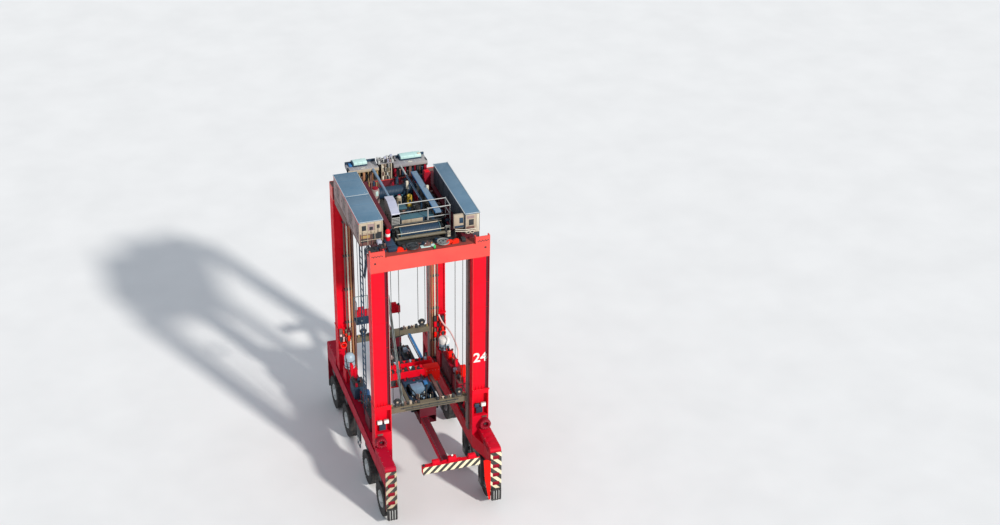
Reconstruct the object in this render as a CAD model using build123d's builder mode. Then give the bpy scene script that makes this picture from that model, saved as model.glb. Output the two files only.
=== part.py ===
"""Shuttle carrier for container yards: a red portal on eight steered wheels with a hoisted spreader.

Millimetres, +Z up, ground at Z = 0, +Y towards the rear, origin on the ground under the middle.
Left is -X, the side with the engine house.
"""
import os
from math import cos, radians, sin

from build123d import *

os.makedirs("parts", exist_ok=True)

# Portal
half_width = 2420
leg_width = 700
leg_depth = 520
leg_centre_y = 3100
leg_plate = 40
leg_recess = 60
joint_height = 4800
joint_thickness = 60
joint_lip = 25
beam_top = 11780
beam_height = 635
lug_width = 590
lug_height = 300
lug_depth = 190
lug_plate = 45
eye_radius = 45
eye_depth = 120
eye_inset = 190
eye_drop = 210

# Bogies
bogie_proud = 40
bogie_bottom = 2000
bogie_height = 650
nose_width = 470
nose_tip_y = 5043
nose_top = 2950
nose_neck = 900
nose_round = 160
nose_plate = 50
nose_return = 120
nose_lip = 25
nose_plate_foot = 850
step_count = 4
step_width = 290
step_height = 190
step_pitch = 440
step_first = 1130
bumper_foot = 420
bumper_depth = 90
bumper_inset = 20
bumper_lap = 130
bumper_ribs = 4
bumper_rib_radius = 28

# Running clearance of every shaft, pin and slide pad in its seat
running_gap = 0.3

# Wheels
wheel_inset = 215
outer_wheel_y = 4020
inner_wheel_y = 1775
tyre_radius = 750
tyre_width = 430
tyre_shoulder = 70
rim_radius = 372
rim_wall = 24
rim_tuck = 12
rim_back = 0.55
rim_web_back = 0.1
rim_web_front = 0.35
hub_radius = 165
hub_reach = 30
hub_flare = 60
axle_radius = 80
axle_end_gap = 8
fork_gap = 60
fork_arm = 120
fork_length = 420
fork_head = 190
fork_top_gap = 70
kingpin_radius = 90
kingpin_height = 260
kingpin_space = 12
boss_radius = 210
boss_height = 50

# Leg feet
lamp_height = 4050
lamp_width = 210
lamp_depth = 110
lamp_tall = 170
lamp_pin = 30
lamp_inset = 210
foot_recess = 230
foot_recess_bottom = 3560
foot_recess_top = 4640
drive_radius = 240
drive_length = 270
drive_bore = 120
drive_dish = 180
drive_lift = 20
rear_drive_radius = 150
rear_drive_bore = 85
rear_drive_height = 3900
rear_drive_inset = 180

# Top frame
girder_inner = 1460
girder_width = 440
girder_rise = 55
girder_height = 700
cross_member = 160
cross_depth = 300
cross_spacing = 1650
deck_plate = 20
deck_half_width = 1440
deck_half_length = 2100
apron_gap_left = 80
apron_gap_right = 430
shelf_outer = 1700
shelf_left_inner = 400
shelf_right_inner = 240
shelf_rise = 450
shelf_thickness = 150
shelf_front = 200
shelf_rear = 400
shelf_post = 120

# Raised rail beside the engine house
house_rail_left = -1430
house_rail_width = 170
house_rail_front = -2230
house_rail_rear = 1600
house_rail_rise = 830
house_rail_height = 150
house_rail_post = 90
house_rail_end = 250

# Housings
house_outer = 2550
house_inner = 1600
house_height = 950
house_front = -2240
house_split = 60
house_rear = 1920
house_gap = 40
house_skirt = 400
cap_thickness = 40
cap_lip = 25
cabinet_outer = 2200
cabinet_inner = 1620
cabinet_front = -2690
cabinet_rear = 1740
cabinet_height = 900
cabinet_skirt = 260
skirt_clearance = 10
bracket_height = 120

# Deck railings
railing_x = 1400
railing_left = -560
railing_corner = 480
railing_front = -1330
railing_rear = -690
railing_height = 1000
railing_middle = 600
post_radius = 24
bar_radius = 17

# Hoist
drum_radius = 240
drum_flange = 30
drum_flange_width = 40
drum_half_length = 820
drum_lift = 30
front_drum_y = -1750
rear_drum_y = 1700
drum_shaft = 70
bearing_width = 120
bearing_foot = 300
bearing_gap = 20
rope_radius = 14
sheave_radius = 160
sheave_width = 60
sheave_hub = 60
sheave_x = 1320
rope_setback = 60
top_sheave_drop = 200
top_block_wall = 25
top_block_foot = 100
top_block_lap = 250
cheek_half = 90
flat_sheave_radius = 250
flat_sheave_thickness = 60
flat_sheave_x = 620
flat_sheave_setback = 130
flat_sheave_lift = 80
flat_sheave_post = 90

# Guide rails and pipes
rail_proud = 80
rail_depth = 300
rail_lap = 150
pipe_radius = 45
pipe_gap = 22
pipe_edge = 70
pipe_pitch = 120
pipe_count = 3
clamp_height = 80
clamp_pitch = 1650
clamp_edge = 20

# Spreader
seat_height = 3190
lock_spacing_x = 2259
lock_spacing_y = 11985
lock_neck_radius = 30
lock_head_length = 104
lock_head_width = 56
lock_head_height = 55
lock_neck = 50
end_beam_width = 225
end_beam_height = 350
end_beam_lift = 10
end_beam_half = 1190
arm_height = 300
arm_width = 300
arm_clearance = 10
pad_length = 200
main_wall = 20
main_setback = 40
arm_overlap = 1250
cross_bottom = 4070
cross_height = 250
cross_width = 230
cross_half = 1560
shoe_gap = 8
sheave_lift = 70
head_half = 1140
head_front = -620
head_depth = 370
head_bottom = 3720
head_height = 660
head_foot_half = 600
head_wall = 80
head_window_edge = 20
head_window_top = 280
head_box_left = 480
back_half = 1000
back_front = 60
back_depth = 270
back_height = 610
tie_x = 640
tie_width = 130
tie_lap = 50
tie_height = 130

# Hose arm
hose_arm_x = -1090
hose_arm_thickness = 70
hose_arm_depth = 210
hose_arm_length = 4460
hose_arm_angle = 65
hose_pivot_inset = 80
hose_pivot_lift = 120
hose_pin_radius = 45
hose_bracket = 30
hose_bracket_gap = 10
hose_bracket_lip = 90

# Ladder
ladder_x = -2180
ladder_front = -1060
ladder_width = 420
ladder_rail = 45
rung_radius = 14
rung_pitch = 300
landing_height = 7150
landing_thickness = 60
landing_outer = 2400
landing_inner = 1760
landing_length = 500
boarding_front = -580
boarding_width = 360
boarding_foot = 900
boarding_pitch = 300

# Cooler, filter and motors on the deck
cooler_left = -950
cooler_width = 350
cooler_front = -1100
cooler_length = 1100
cooler_height = 1080
cooler_nose_height = 810
cooler_nose_length = 650
filter_x = -1000
filter_y = 1240
filter_radius = 170
filter_height = 880
motor_left_x = -110
motor_right_x = 330
motor_y = 850
motor_radius = 110
motor_height = 530
duct_x = -650
duct_radius = 60
conduit_x = 530
conduit_front = -250
conduit_radius = 40

# Gear beam behind the front drum, red valve unit and cable tray
gear_left = -580
gear_right = 800
gear_front = -1180
gear_depth = 460
gear_height = 560
valve_left = 1160
valve_width = 270
valve_front = 1500
valve_length = 300
valve_height = 1080
tray_left = 780
tray_width = 260
tray_front = -1350
tray_length = 3600
tray_height = 730
tray_thickness = 80
tray_post = 80
tray_post_front = -600
tray_post_rear = 500

# Service tower and pale boxes over the rear portal beam
tower_left = -300
tower_width = 450
tower_front = 2880
tower_depth = 320
tower_height = 720
tower_head_left = -430
tower_head_width = 770
tower_head_depth = 380
tower_head_height = 260
pale_box_front = 3230
pale_box_depth = 330
pale_box_height = 170
pale_left_outer = -1390
pale_left_width = 580
pale_right_inner = 620
pale_right_width = 900

# Tanks and units on the bogie beams
tank_base_inner = 1850
tank_base_width = 530
tank_base_front = 1800
tank_base_length = 540
tank_base_height = 650
tank_x = 2130
tank_y = 2070
tank_radius = 230
tank_height = 500
locker_inner = 1800
locker_width = 530
locker_front = 500
locker_length = 800
locker_height = 620
power_inner = 1880
power_width = 480
power_front = 250
power_length = 1350
power_height = 1000
pump_inner = 1900
pump_width = 440
pump_front = -800
pump_length = 850
pump_height = 950
valves_inner = 1800
valves_width = 500
valves_front = -1950
valves_length = 800
valves_height = 700

# Units on the spreader
spreader_tray_left = -620
spreader_tray_width = 1100
spreader_tray_front = -2330
spreader_tray_length = 1330
spreader_tray_height = 430
spreader_motor_left = -200
spreader_motor_width = 500
spreader_motor_front = -1400
spreader_motor_length = 300
spreader_motor_height = 140
rear_unit_left = -560
rear_unit_width = 520
rear_unit_front = 700
rear_unit_length = 900
rear_unit_height = 600
rear_pump_left = 20
rear_pump_width = 480
rear_pump_front = 1000
rear_pump_length = 1100
rear_pump_height = 520

# Worked out from the sizes above
leg_inner = half_width - leg_width
bogie_outer = half_width + bogie_proud
wheel_x = bogie_outer - wheel_inset
leg_outer_y = leg_centre_y + leg_depth / 2
leg_inner_y = leg_centre_y - leg_depth / 2
rope_y = leg_inner_y - rope_setback
beam_bottom = beam_top - beam_height
girder_bottom = beam_bottom + girder_rise
girder_top = girder_bottom + girder_height
house_top = girder_top + house_height
cabinet_top = girder_top + cabinet_height
shelf_bottom = beam_top + shelf_rise
shelf_top = shelf_bottom + shelf_thickness
shelf_near = leg_centre_y - shelf_front
cooler_rear = cooler_front + cooler_length
bogie_top = bogie_bottom + bogie_height
nose_inner = bogie_outer - nose_width
nose_box_y = nose_tip_y - nose_plate
deck_top = girder_bottom + cross_depth + deck_plate
drum_height = deck_top + drum_radius + drum_flange + drum_lift
fork_head_top = bogie_bottom - fork_top_gap
fork_head_bottom = fork_head_top - fork_head
fork_arm_outer = wheel_x - tyre_width / 2 - fork_gap
fork_arm_inner = fork_arm_outer - fork_arm
lock_x = lock_spacing_x / 2
lock_y = lock_spacing_y / 2
end_beam_bottom = seat_height + end_beam_lift
arm_bottom = end_beam_bottom + (end_beam_height - arm_height) / 2
arm_top = arm_bottom + arm_height
bay_width = arm_width + 2 * arm_clearance
main_bottom = arm_bottom - arm_clearance - main_wall
main_top = arm_top + arm_clearance + main_wall
main_half = main_wall / 2 + bay_width + main_wall
main_half_length = rope_y - main_setback
arm_inner_end = main_half_length - arm_overlap
cross_top = cross_bottom + cross_height
spreader_sheave_z = cross_top + sheave_radius + sheave_lift
top_sheave_height = girder_bottom - top_sheave_drop
rail_face = leg_inner - rail_proud
hose_pivot_y = -(rope_y - hose_pivot_inset)
hose_pivot_z = cross_top + hose_pivot_lift
tie_bottom = cross_bottom + tie_lap - tie_height
head_rear = head_front + head_depth
back_rear = back_front + back_depth
sides = {"left": -1, "right": 1}
ends = {"front": -1, "rear": 1}
wheel_rows = {1: -outer_wheel_y, 2: -inner_wheel_y, 3: inner_wheel_y, 4: outer_wheel_y}


def save(builder, label):
    """Name a finished piece and write its file."""
    builder.part.label = label
    export_step(builder.part, f"parts/{label}.step")


def block(xa, xb, ya, yb, za, zb, mode=Mode.ADD):
    """Add or cut a box between two corners, given in any order."""
    with Locations(((xa + xb) / 2, (ya + yb) / 2, (za + zb) / 2)):
        Box(abs(xb - xa), abs(yb - ya), abs(zb - za), mode=mode)


def unit(x, width, y, length, foot, height):
    """Add a box from its left front corner, standing on a height."""
    block(x, x + width, y, y + length, foot, foot + height)


def rod_x(xa, xb, y, z, radius, mode=Mode.ADD):
    """Add or cut a round bar along X."""
    with Locations(((xa + xb) / 2, y, z)):
        Cylinder(radius, abs(xb - xa), rotation=(0, 90, 0), mode=mode)


def rod_y(x, ya, yb, z, radius, mode=Mode.ADD):
    """Add or cut a round bar along Y."""
    with Locations((x, (ya + yb) / 2, z)):
        Cylinder(radius, abs(yb - ya), rotation=(90, 0, 0), mode=mode)


def rod_z(x, y, za, zb, radius, mode=Mode.ADD):
    """Add or cut a round bar along Z."""
    with Locations((x, y, (za + zb) / 2)):
        Cylinder(radius, abs(zb - za), mode=mode)


def side_profile(points, xa, xb):
    """Extrude a Y-Z outline from one X to another."""
    with BuildSketch(Plane.YZ.offset(min(xa, xb))) as outline:
        with BuildLine():
            Polyline(*points, close=True)
        make_face()
    extrude(outline.sketch, amount=abs(xb - xa))


# Bogie beams with a nose at both ends and a kingpin boss over each wheel
def make_bogie(side_name, side):
    outer = side * bogie_outer
    inner = side * leg_inner
    with BuildPart() as bogie:
        neck_y = leg_outer_y + nose_neck
        plan = [
            (outer, -nose_box_y), (outer, nose_box_y),
            (side * nose_inner, nose_box_y), (side * nose_inner, neck_y),
            (inner, leg_outer_y), (inner, -leg_outer_y),
            (side * nose_inner, -neck_y), (side * nose_inner, -nose_box_y),
        ]
        with BuildSketch(Plane.XY.offset(bogie_bottom)):
            with BuildLine():
                Polyline(*plan, close=True)
            make_face()
        extrude(amount=bogie_height)
        for end in ends.values():
            block(side * nose_inner, outer, end * leg_outer_y, end * nose_box_y, bogie_top, nose_top)
        hood_edges = bogie.edges().filter_by(Axis.X).group_by(Axis.Z)[-1]
        tips = [hood_edges.sort_by(Axis.Y)[0], hood_edges.sort_by(Axis.Y)[-1]]
        fillet(tips, nose_round)
        for wheel_y in wheel_rows.values():
            rod_z(side * wheel_x, wheel_y, bogie_bottom - boss_height, bogie_bottom, boss_radius)
            rod_z(side * wheel_x, wheel_y, bogie_bottom - boss_height, fork_head_top + kingpin_height
                  + kingpin_space, kingpin_radius + running_gap, Mode.SUBTRACT)
    save(bogie, f"bogie_beam_{side_name}")


for side_name, side in sides.items():
    make_bogie(side_name, side)


# Legs: a box column between two deeper side plates, on a foot with a lamp recess
def make_leg(end_name, end, side_name, side):
    inner = side * leg_inner
    outer = side * half_width
    near = end * leg_inner_y
    far = end * leg_outer_y
    with BuildPart() as leg:
        block(inner, outer, near, far, bogie_top, joint_height)
        block(inner + side * leg_plate, outer - side * leg_plate, far, far - end * foot_recess,
              foot_recess_bottom, foot_recess_top, Mode.SUBTRACT)
        block(inner, outer + side * joint_lip, near - end * joint_lip,
              far + end * joint_lip, joint_height, joint_height + joint_thickness)
        column_foot = joint_height + joint_thickness
        block(inner + side * leg_plate, outer - side * leg_plate, near + end * leg_recess,
              far - end * leg_recess, column_foot, beam_bottom)
        block(inner, inner + side * leg_plate, near, far, column_foot, beam_bottom)
        block(outer, outer - side * leg_plate, near, far, column_foot, beam_bottom)
    save(leg, f"leg_{end_name}_{side_name}")


for end_name, end in ends.items():
    for side_name, side in sides.items():
        make_leg(end_name, end, side_name, side)


# Portal beams with a round eye near each end, the front one with raised lugs
def make_lug(side, far):
    lug_inner = side * (half_width - lug_width)
    lug_outer = side * half_width
    lug_top = beam_top + lug_height
    block(lug_inner, lug_outer, far, far + lug_plate, beam_top, lug_top)
    block(lug_inner, lug_inner + side * lug_plate, far, far + lug_depth, beam_top, lug_top)
    block(lug_outer - side * lug_plate, lug_outer, far, far + lug_depth, beam_top, lug_top)


def make_portal_beam(end_name, end):
    near = end * leg_inner_y
    far = end * leg_outer_y
    with BuildPart() as beam:
        block(-half_width, half_width, near, far, beam_bottom, beam_top)
        for side in sides.values():
            eye_x = side * (half_width - eye_inset)
            rod_y(eye_x, far, far - end * eye_depth, beam_top - eye_drop, eye_radius, Mode.SUBTRACT)
            if end_name == "front":
                make_lug(side, far)
    save(beam, f"portal_beam_{end_name}")


for end_name, end in ends.items():
    make_portal_beam(end_name, end)

# Longitudinal girders between the portal beams, and a raised rail on posts along the engine house
with BuildPart() as side_girders:
    for side in sides.values():
        girder_outer = side * (girder_inner + girder_width)
        block(side * girder_inner, girder_outer, -leg_inner_y, leg_inner_y, girder_bottom, girder_top)
    rail_top = deck_top + house_rail_rise + house_rail_height
    block(house_rail_left, house_rail_left + house_rail_width, house_rail_front, house_rail_rear,
          deck_top + house_rail_rise, rail_top)
    post_left = house_rail_left + (house_rail_width - house_rail_post) / 2
    for post_y in (house_rail_front + house_rail_end, house_rail_rear - house_rail_end):
        unit(post_left, house_rail_post, post_y - house_rail_post / 2, house_rail_post, deck_top,
             house_rail_rise)
save(side_girders, "side_girders")

# Deck: cross members, a floor plate on them with two aprons to the front portal beam, the bearings of
# the rope drums and the posts of the cable tray
with BuildPart() as deck_frame:
    for offset in (-1, 0, 1):
        member_y = offset * cross_spacing
        block(-girder_inner, girder_inner, member_y - cross_member / 2, member_y + cross_member / 2,
              girder_bottom, girder_bottom + cross_depth)
    block(-deck_half_width, deck_half_width, -deck_half_length, deck_half_length,
          girder_bottom + cross_depth, deck_top)
    for drum_y in (front_drum_y, rear_drum_y):
        for side in sides.values():
            start = side * (drum_half_length + bearing_gap)
            stop = start + side * bearing_width
            block(start, stop, drum_y - bearing_foot / 2, drum_y + bearing_foot / 2, deck_top,
                  drum_height + bearing_foot / 2)
            rod_x(start, stop, drum_y, drum_height, drum_shaft + running_gap, Mode.SUBTRACT)
    for post_y in (tray_post_front, tray_post_rear):
        unit(tray_left + (tray_width - tray_post) / 2, tray_post, post_y, tray_post, deck_top, tray_height)
    for apron_side, apron_inner in (
            (deck_half_width, apron_gap_right), (-deck_half_width, apron_gap_left)):
        block(apron_side, apron_inner, -leg_inner_y, -deck_half_length, girder_bottom + cross_depth,
              deck_top)
save(deck_frame, "deck_frame")

# Two shelves on posts over the rear portal beam
with BuildPart() as rear_platform:
    for shelf_inner, shelf_end in ((-shelf_left_inner, -shelf_outer), (shelf_right_inner, shelf_outer)):
        block(shelf_inner, shelf_end, shelf_near, leg_centre_y + shelf_rear, shelf_bottom, shelf_top)
        step = shelf_post if shelf_end > 0 else -shelf_post
        for post_x in (shelf_inner, shelf_end - step):
            block(post_x, post_x + step, leg_centre_y - shelf_post / 2, leg_centre_y + shelf_post / 2,
                  beam_top, shelf_bottom)
save(rear_platform, "rear_platform")


# Engine house in two units on the left girder, each with an overhanging cap
def make_house_unit(front, rear, skirt):
    block(-house_outer, -house_inner, front, rear, girder_top, house_top - cap_thickness)
    girder_outer = girder_inner + girder_width
    block(-house_outer, -girder_outer - skirt_clearance, front, rear, girder_top - skirt, girder_top)
    block(-house_outer - cap_lip, -house_inner + cap_lip, front - cap_lip / 2, rear + cap_lip / 2,
          house_top - cap_thickness, house_top)


with BuildPart() as engine_house:
    make_house_unit(house_front, -house_split - house_gap / 2, bracket_height)
    make_house_unit(-house_split + house_gap / 2, house_rear, house_skirt)
save(engine_house, "engine_house")

# Narrow electrical cabinet on the right girder
with BuildPart() as electric_cabinet:
    block(cabinet_inner, cabinet_outer, cabinet_front, cabinet_rear, girder_top, cabinet_top - cap_thickness)
    block(girder_inner + girder_width + skirt_clearance, cabinet_outer, cabinet_front, cabinet_rear,
          girder_top - cabinet_skirt, girder_top)
    block(cabinet_inner - cap_lip, cabinet_outer + cap_lip, cabinet_front, cabinet_rear + cap_lip,
          cabinet_top - cap_thickness, cabinet_top)
save(electric_cabinet, "electric_cabinet")

# Separate units that stand on the deck, the rear portal beam and the shelves
with BuildPart() as deck_units:
    cooler_top = deck_top + cooler_height
    side_profile([(cooler_front, deck_top), (cooler_rear, deck_top), (cooler_rear, cooler_top),
                  (cooler_front + cooler_nose_length, cooler_top),
                  (cooler_front, deck_top + cooler_nose_height)], cooler_left, cooler_left + cooler_width)
    rod_z(filter_x, filter_y, deck_top, deck_top + filter_height, filter_radius)
    rod_z(motor_left_x, motor_y, deck_top, deck_top + motor_height, motor_radius)
    rod_z(motor_right_x, motor_y, deck_top, deck_top + motor_height, motor_radius)
    unit(gear_left, gear_right - gear_left, gear_front, gear_depth, deck_top, gear_height)
    unit(valve_left, valve_width, valve_front, valve_length, deck_top, valve_height)
    unit(tray_left, tray_width, tray_front, tray_length, deck_top + tray_height, tray_thickness)
    unit(tower_left, tower_width, tower_front, tower_depth, beam_top, tower_height)
    unit(tower_head_left, tower_head_width, tower_front, tower_head_depth, beam_top + tower_height,
         tower_head_height)
    unit(pale_left_outer, pale_left_width, pale_box_front, pale_box_depth, shelf_top, pale_box_height)
    unit(pale_right_inner, pale_right_width, pale_box_front, pale_box_depth, shelf_top, pale_box_height)
save(deck_units, "deck_units")


# Two rope drums on shafts in the deck's bearings
def make_drum(end_name, drum_y):
    with BuildPart() as drum:
        rod_x(-drum_half_length, drum_half_length, drum_y, drum_height, drum_radius)
        for side in sides.values():
            rod_x(side * drum_half_length, side * (drum_half_length - drum_flange_width), drum_y, drum_height,
                  drum_radius + drum_flange)
        reach = drum_half_length + bearing_gap + bearing_width
        rod_x(-reach, reach, drum_y, drum_height, drum_shaft)
    save(drum, f"hoist_drum_{end_name}")


make_drum("front", front_drum_y)
make_drum("rear", rear_drum_y)

# Sheave blocks on the inner face of the portal beams, and flat sheaves on the front beam
with BuildPart() as top_sheaves:
    for end in ends.values():
        for side in sides.values():
            centre_x = side * sheave_x
            rope_plane = end * rope_y
            with Locations((centre_x, rope_plane, top_sheave_height)):
                Cylinder(sheave_radius - rope_radius - running_gap, sheave_width, rotation=(90, 0, 0))
            rod_y(centre_x, rope_plane, end * leg_inner_y, top_sheave_height, sheave_hub)
            block(centre_x - sheave_hub, centre_x + sheave_hub, end * (leg_inner_y - top_block_wall),
                  end * leg_inner_y, top_sheave_height - top_block_foot, beam_bottom + top_block_lap)
    flat_y = -(leg_inner_y + flat_sheave_setback)
    flat_foot = beam_top + flat_sheave_lift
    for side in sides.values():
        rod_z(side * flat_sheave_x, flat_y, beam_top, flat_foot, flat_sheave_post)
        rod_z(side * flat_sheave_x, flat_y, flat_foot, flat_foot + flat_sheave_thickness, flat_sheave_radius)
save(top_sheaves, "top_sheaves")

# Taut hoist ropes, two falls from each spreader sheave to the sheave above it
with BuildPart() as hoist_ropes:
    for end in ends.values():
        for side in sides.values():
            for fall in (-1, 1):
                rod_z(side * sheave_x + fall * sheave_radius, end * rope_y, spreader_sheave_z,
                      top_sheave_height, rope_radius)
save(hoist_ropes, "hoist_ropes")

# Vertical guide rails for the spreader, on the lane faces of the legs
with BuildPart() as guide_rails:
    for end in ends.values():
        for side in sides.values():
            lap_y = leg_inner_y + rail_lap
            block(side * rail_face, side * leg_inner, end * lap_y, end * (lap_y - rail_depth), bogie_top,
                  beam_bottom)
save(guide_rails, "guide_rails")

# Cable pipes with clamps on the inner faces of the rear legs, and two pipes that end at the rear shelves
with BuildPart() as cable_pipes:
    pipe_y = leg_inner_y - pipe_gap - joint_lip - pipe_radius
    for side in sides.values():
        first_x = leg_inner + pipe_edge
        last_x = first_x + pipe_pitch * (pipe_count - 1)
        for index in range(pipe_count):
            rod_z(side * (first_x + index * pipe_pitch), pipe_y, bogie_top, beam_bottom, pipe_radius)
        clamp_count = int((beam_bottom - bogie_top) // clamp_pitch)
        for index in range(clamp_count):
            foot = bogie_top + (index + 0.5) * clamp_pitch
            block(side * (first_x - pipe_radius - clamp_edge), side * (last_x + pipe_radius + clamp_edge),
                  leg_inner_y, pipe_y, foot, foot + clamp_height)
    duct_z = shelf_bottom + shelf_thickness / 2
    rod_y(duct_x, cooler_rear, shelf_near, duct_z, duct_radius)
    rod_y(conduit_x, conduit_front, shelf_near, duct_z, conduit_radius)
    rod_z(conduit_x, conduit_front + conduit_radius, deck_top, duct_z, conduit_radius)
save(cable_pipes, "cable_pipes")

# Ladder on the left bogie with a landing halfway, and a boarding ladder that hangs below the bogie
with BuildPart() as access_ladder:
    ladder_top = girder_top - bracket_height
    ladder_rear = ladder_front + ladder_width
    for rail_y in (ladder_front, ladder_rear):
        block(ladder_x - ladder_rail / 2, ladder_x + ladder_rail / 2, rail_y - ladder_rail / 2,
              rail_y + ladder_rail / 2, bogie_top, ladder_top)
    rung_z = bogie_top + rung_pitch
    while rung_z < ladder_top:
        rod_y(ladder_x, ladder_front, ladder_rear, rung_z, rung_radius)
        rung_z += rung_pitch
    block(-landing_outer, -landing_inner, ladder_rear, ladder_rear + landing_length, landing_height,
          landing_height + landing_thickness)
    boarding_x = -bogie_outer + ladder_rail
    boarding_rear = boarding_front + boarding_width
    for rail_y in (boarding_front, boarding_rear):
        block(boarding_x - ladder_rail / 2, boarding_x + ladder_rail / 2, rail_y - ladder_rail / 2,
              rail_y + ladder_rail / 2, boarding_foot, bogie_bottom)
    rung_z = boarding_foot + rung_radius
    while rung_z < bogie_bottom:
        rod_y(boarding_x, boarding_front, boarding_rear, rung_z, rung_radius)
        rung_z += boarding_pitch
save(access_ladder, "access_ladder")

# Handrails round the walkway on the deck
with BuildPart() as deck_railings:
    for post_x, post_y in ((railing_left, railing_rear), (railing_x, railing_rear),
                           (railing_x, railing_front), (railing_corner, railing_front)):
        rod_z(post_x, post_y, deck_top, deck_top + railing_height + post_radius, post_radius)
    lap = post_radius / 2
    for height in (deck_top + railing_middle, deck_top + railing_height):
        rod_x(railing_left - lap, railing_x + lap, railing_rear, height, bar_radius)
        rod_y(railing_x, railing_front - lap, railing_rear + lap, height, bar_radius)
        rod_x(railing_corner - lap, railing_x + lap, railing_front, height, bar_radius)
save(deck_railings, "deck_railings")

# Lamps in the recess of every leg foot
with BuildPart() as headlamps:
    for end in ends.values():
        for side in sides.values():
            for place in (leg_inner + lamp_inset, half_width - lamp_inset):
                lamp_x = side * place
                back = end * (leg_outer_y - foot_recess)
                rod_y(lamp_x, back, end * (leg_outer_y - lamp_depth), lamp_height, lamp_pin)
                block(lamp_x - lamp_width / 2, lamp_x + lamp_width / 2, end * (leg_outer_y - lamp_depth),
                      end * leg_outer_y, lamp_height - lamp_tall / 2, lamp_height + lamp_tall / 2)
save(headlamps, "headlamps")

# Stepped plates that hang in front of the outer wheels
with BuildPart() as nose_plates:
    for end in ends.values():
        for side in sides.values():
            inner = side * nose_inner
            outer = side * bogie_outer
            face = end * nose_tip_y
            block(inner, outer, face, face - end * nose_plate, nose_plate_foot, nose_top - nose_round)
            for edge in (inner, outer - side * nose_lip):
                block(edge, edge + side * nose_lip, face - end * nose_plate, face - end * nose_return,
                      nose_plate_foot, bogie_bottom)
            middle = (inner + outer) / 2
            for index in range(step_count):
                step_z = step_first + index * step_pitch
                block(middle - step_width / 2, middle + step_width / 2, face, face - end * nose_plate / 2,
                      step_z, step_z + step_height, Mode.SUBTRACT)
save(nose_plates, "nose_plates")

# Ribbed rubber bumpers under the nose plates
with BuildPart() as bumper_posts:
    for end in ends.values():
        for side in sides.values():
            inner = side * (nose_inner + bumper_inset)
            outer = side * (bogie_outer - bumper_inset)
            face = end * nose_tip_y
            bumper_top = nose_plate_foot + bumper_lap
            block(inner, outer, face, face + end * bumper_depth, bumper_foot, bumper_top)
            for index in range(bumper_ribs):
                share = (index + 0.5) / bumper_ribs
                rib_x = inner + share * (outer - inner)
                rod_z(rib_x, face + end * bumper_depth, bumper_foot, bumper_top, bumper_rib_radius)
save(bumper_posts, "bumper_posts")

# Ring-shaped drives at the leg feet, and tanks and units that stand on the bogie beams
with BuildPart() as bogie_units:
    tank_foot = bogie_top + tank_base_height
    for side in sides.values():
        front_drive_x = side * (nose_inner + nose_width / 2)
        front_drive_z = nose_top + drive_radius + drive_lift
        drive_end = -leg_outer_y - drive_length
        rod_y(front_drive_x, -leg_outer_y, drive_end, front_drive_z, drive_radius)
        rod_y(front_drive_x, drive_end, drive_end + drive_dish, front_drive_z, drive_bore, Mode.SUBTRACT)
        rear_drive_x = side * (half_width - rear_drive_inset)
        drive_end = leg_inner_y - drive_length
        rod_y(rear_drive_x, leg_inner_y, drive_end, rear_drive_height, rear_drive_radius)
        rod_y(rear_drive_x, drive_end, drive_end + drive_dish, rear_drive_height, rear_drive_bore,
              Mode.SUBTRACT)
        block(side * tank_base_inner, side * (tank_base_inner + tank_base_width), tank_base_front,
              tank_base_front + tank_base_length, bogie_top, tank_foot)
        rod_z(side * tank_x, tank_y, tank_foot, tank_foot + tank_height, tank_radius)
    with Locations((-tank_x, tank_y, tank_foot + tank_height)):
        Sphere(tank_radius)
    unit(-locker_inner - locker_width, locker_width, locker_front, locker_length, bogie_top, locker_height)
    unit(power_inner, power_width, power_front, power_length, bogie_top, power_height)
    unit(pump_inner, pump_width, pump_front, pump_length, bogie_top, pump_height)
    unit(valves_inner, valves_width, valves_front, valves_length, bogie_top, valves_height)
save(bogie_units, "bogie_units")


# Wheels: a single-sided fork with a kingpin, a rim on its stub axle and a tyre
def make_fork(side_name, side, row, wheel_y):
    with BuildPart() as fork:
        block(side * fork_arm_inner, side * (wheel_x + fork_head), wheel_y - fork_length / 2,
              wheel_y + fork_length / 2, fork_head_bottom, fork_head_top)
        block(side * fork_arm_inner, side * fork_arm_outer, wheel_y - fork_length / 2,
              wheel_y + fork_length / 2, tyre_radius - fork_length / 2, fork_head_bottom)
        rod_x(side * fork_arm_outer, side * (wheel_x + tyre_width / 4), wheel_y, tyre_radius, axle_radius)
        rod_z(side * wheel_x, wheel_y, fork_head_top, fork_head_top + kingpin_height, kingpin_radius)
    save(fork, f"fork_{side_name}_{row}")


def wheel_plane(side, wheel_y):
    """Plane at a wheel's centre whose Z axis is the axle, pointing outboard."""
    return Plane(origin=(side * wheel_x, wheel_y, tyre_radius), x_dir=(0, 1, 0), z_dir=(side, 0, 0))


def make_rim(side_name, side, row, wheel_y):
    half = tyre_width / 2 - rim_tuck
    bore = axle_radius + running_gap
    seat = rim_radius - rim_wall
    axle_hole_end = tyre_width / 4 + axle_end_gap
    with BuildPart() as rim:
        with BuildSketch(Plane.XZ):
            with BuildLine():
                Polyline(
                    (bore, -half * rim_back), (hub_radius, -half * rim_back), (hub_radius, -half * rim_web_back),
                    (seat, -half * rim_web_back), (seat, -half), (rim_radius, -half), (rim_radius, half),
                    (seat, half), (seat, half * rim_web_front), (hub_radius + hub_flare, half * rim_web_front),
                    (hub_radius, half + hub_reach), (0, half + hub_reach), (0, axle_hole_end),
                    (bore, axle_hole_end), close=True,
                )
            make_face()
        revolve(axis=Axis.Z)
    rim.part = rim.part.moved(wheel_plane(side, wheel_y).location)
    save(rim, f"rim_{side_name}_{row}")


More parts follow.
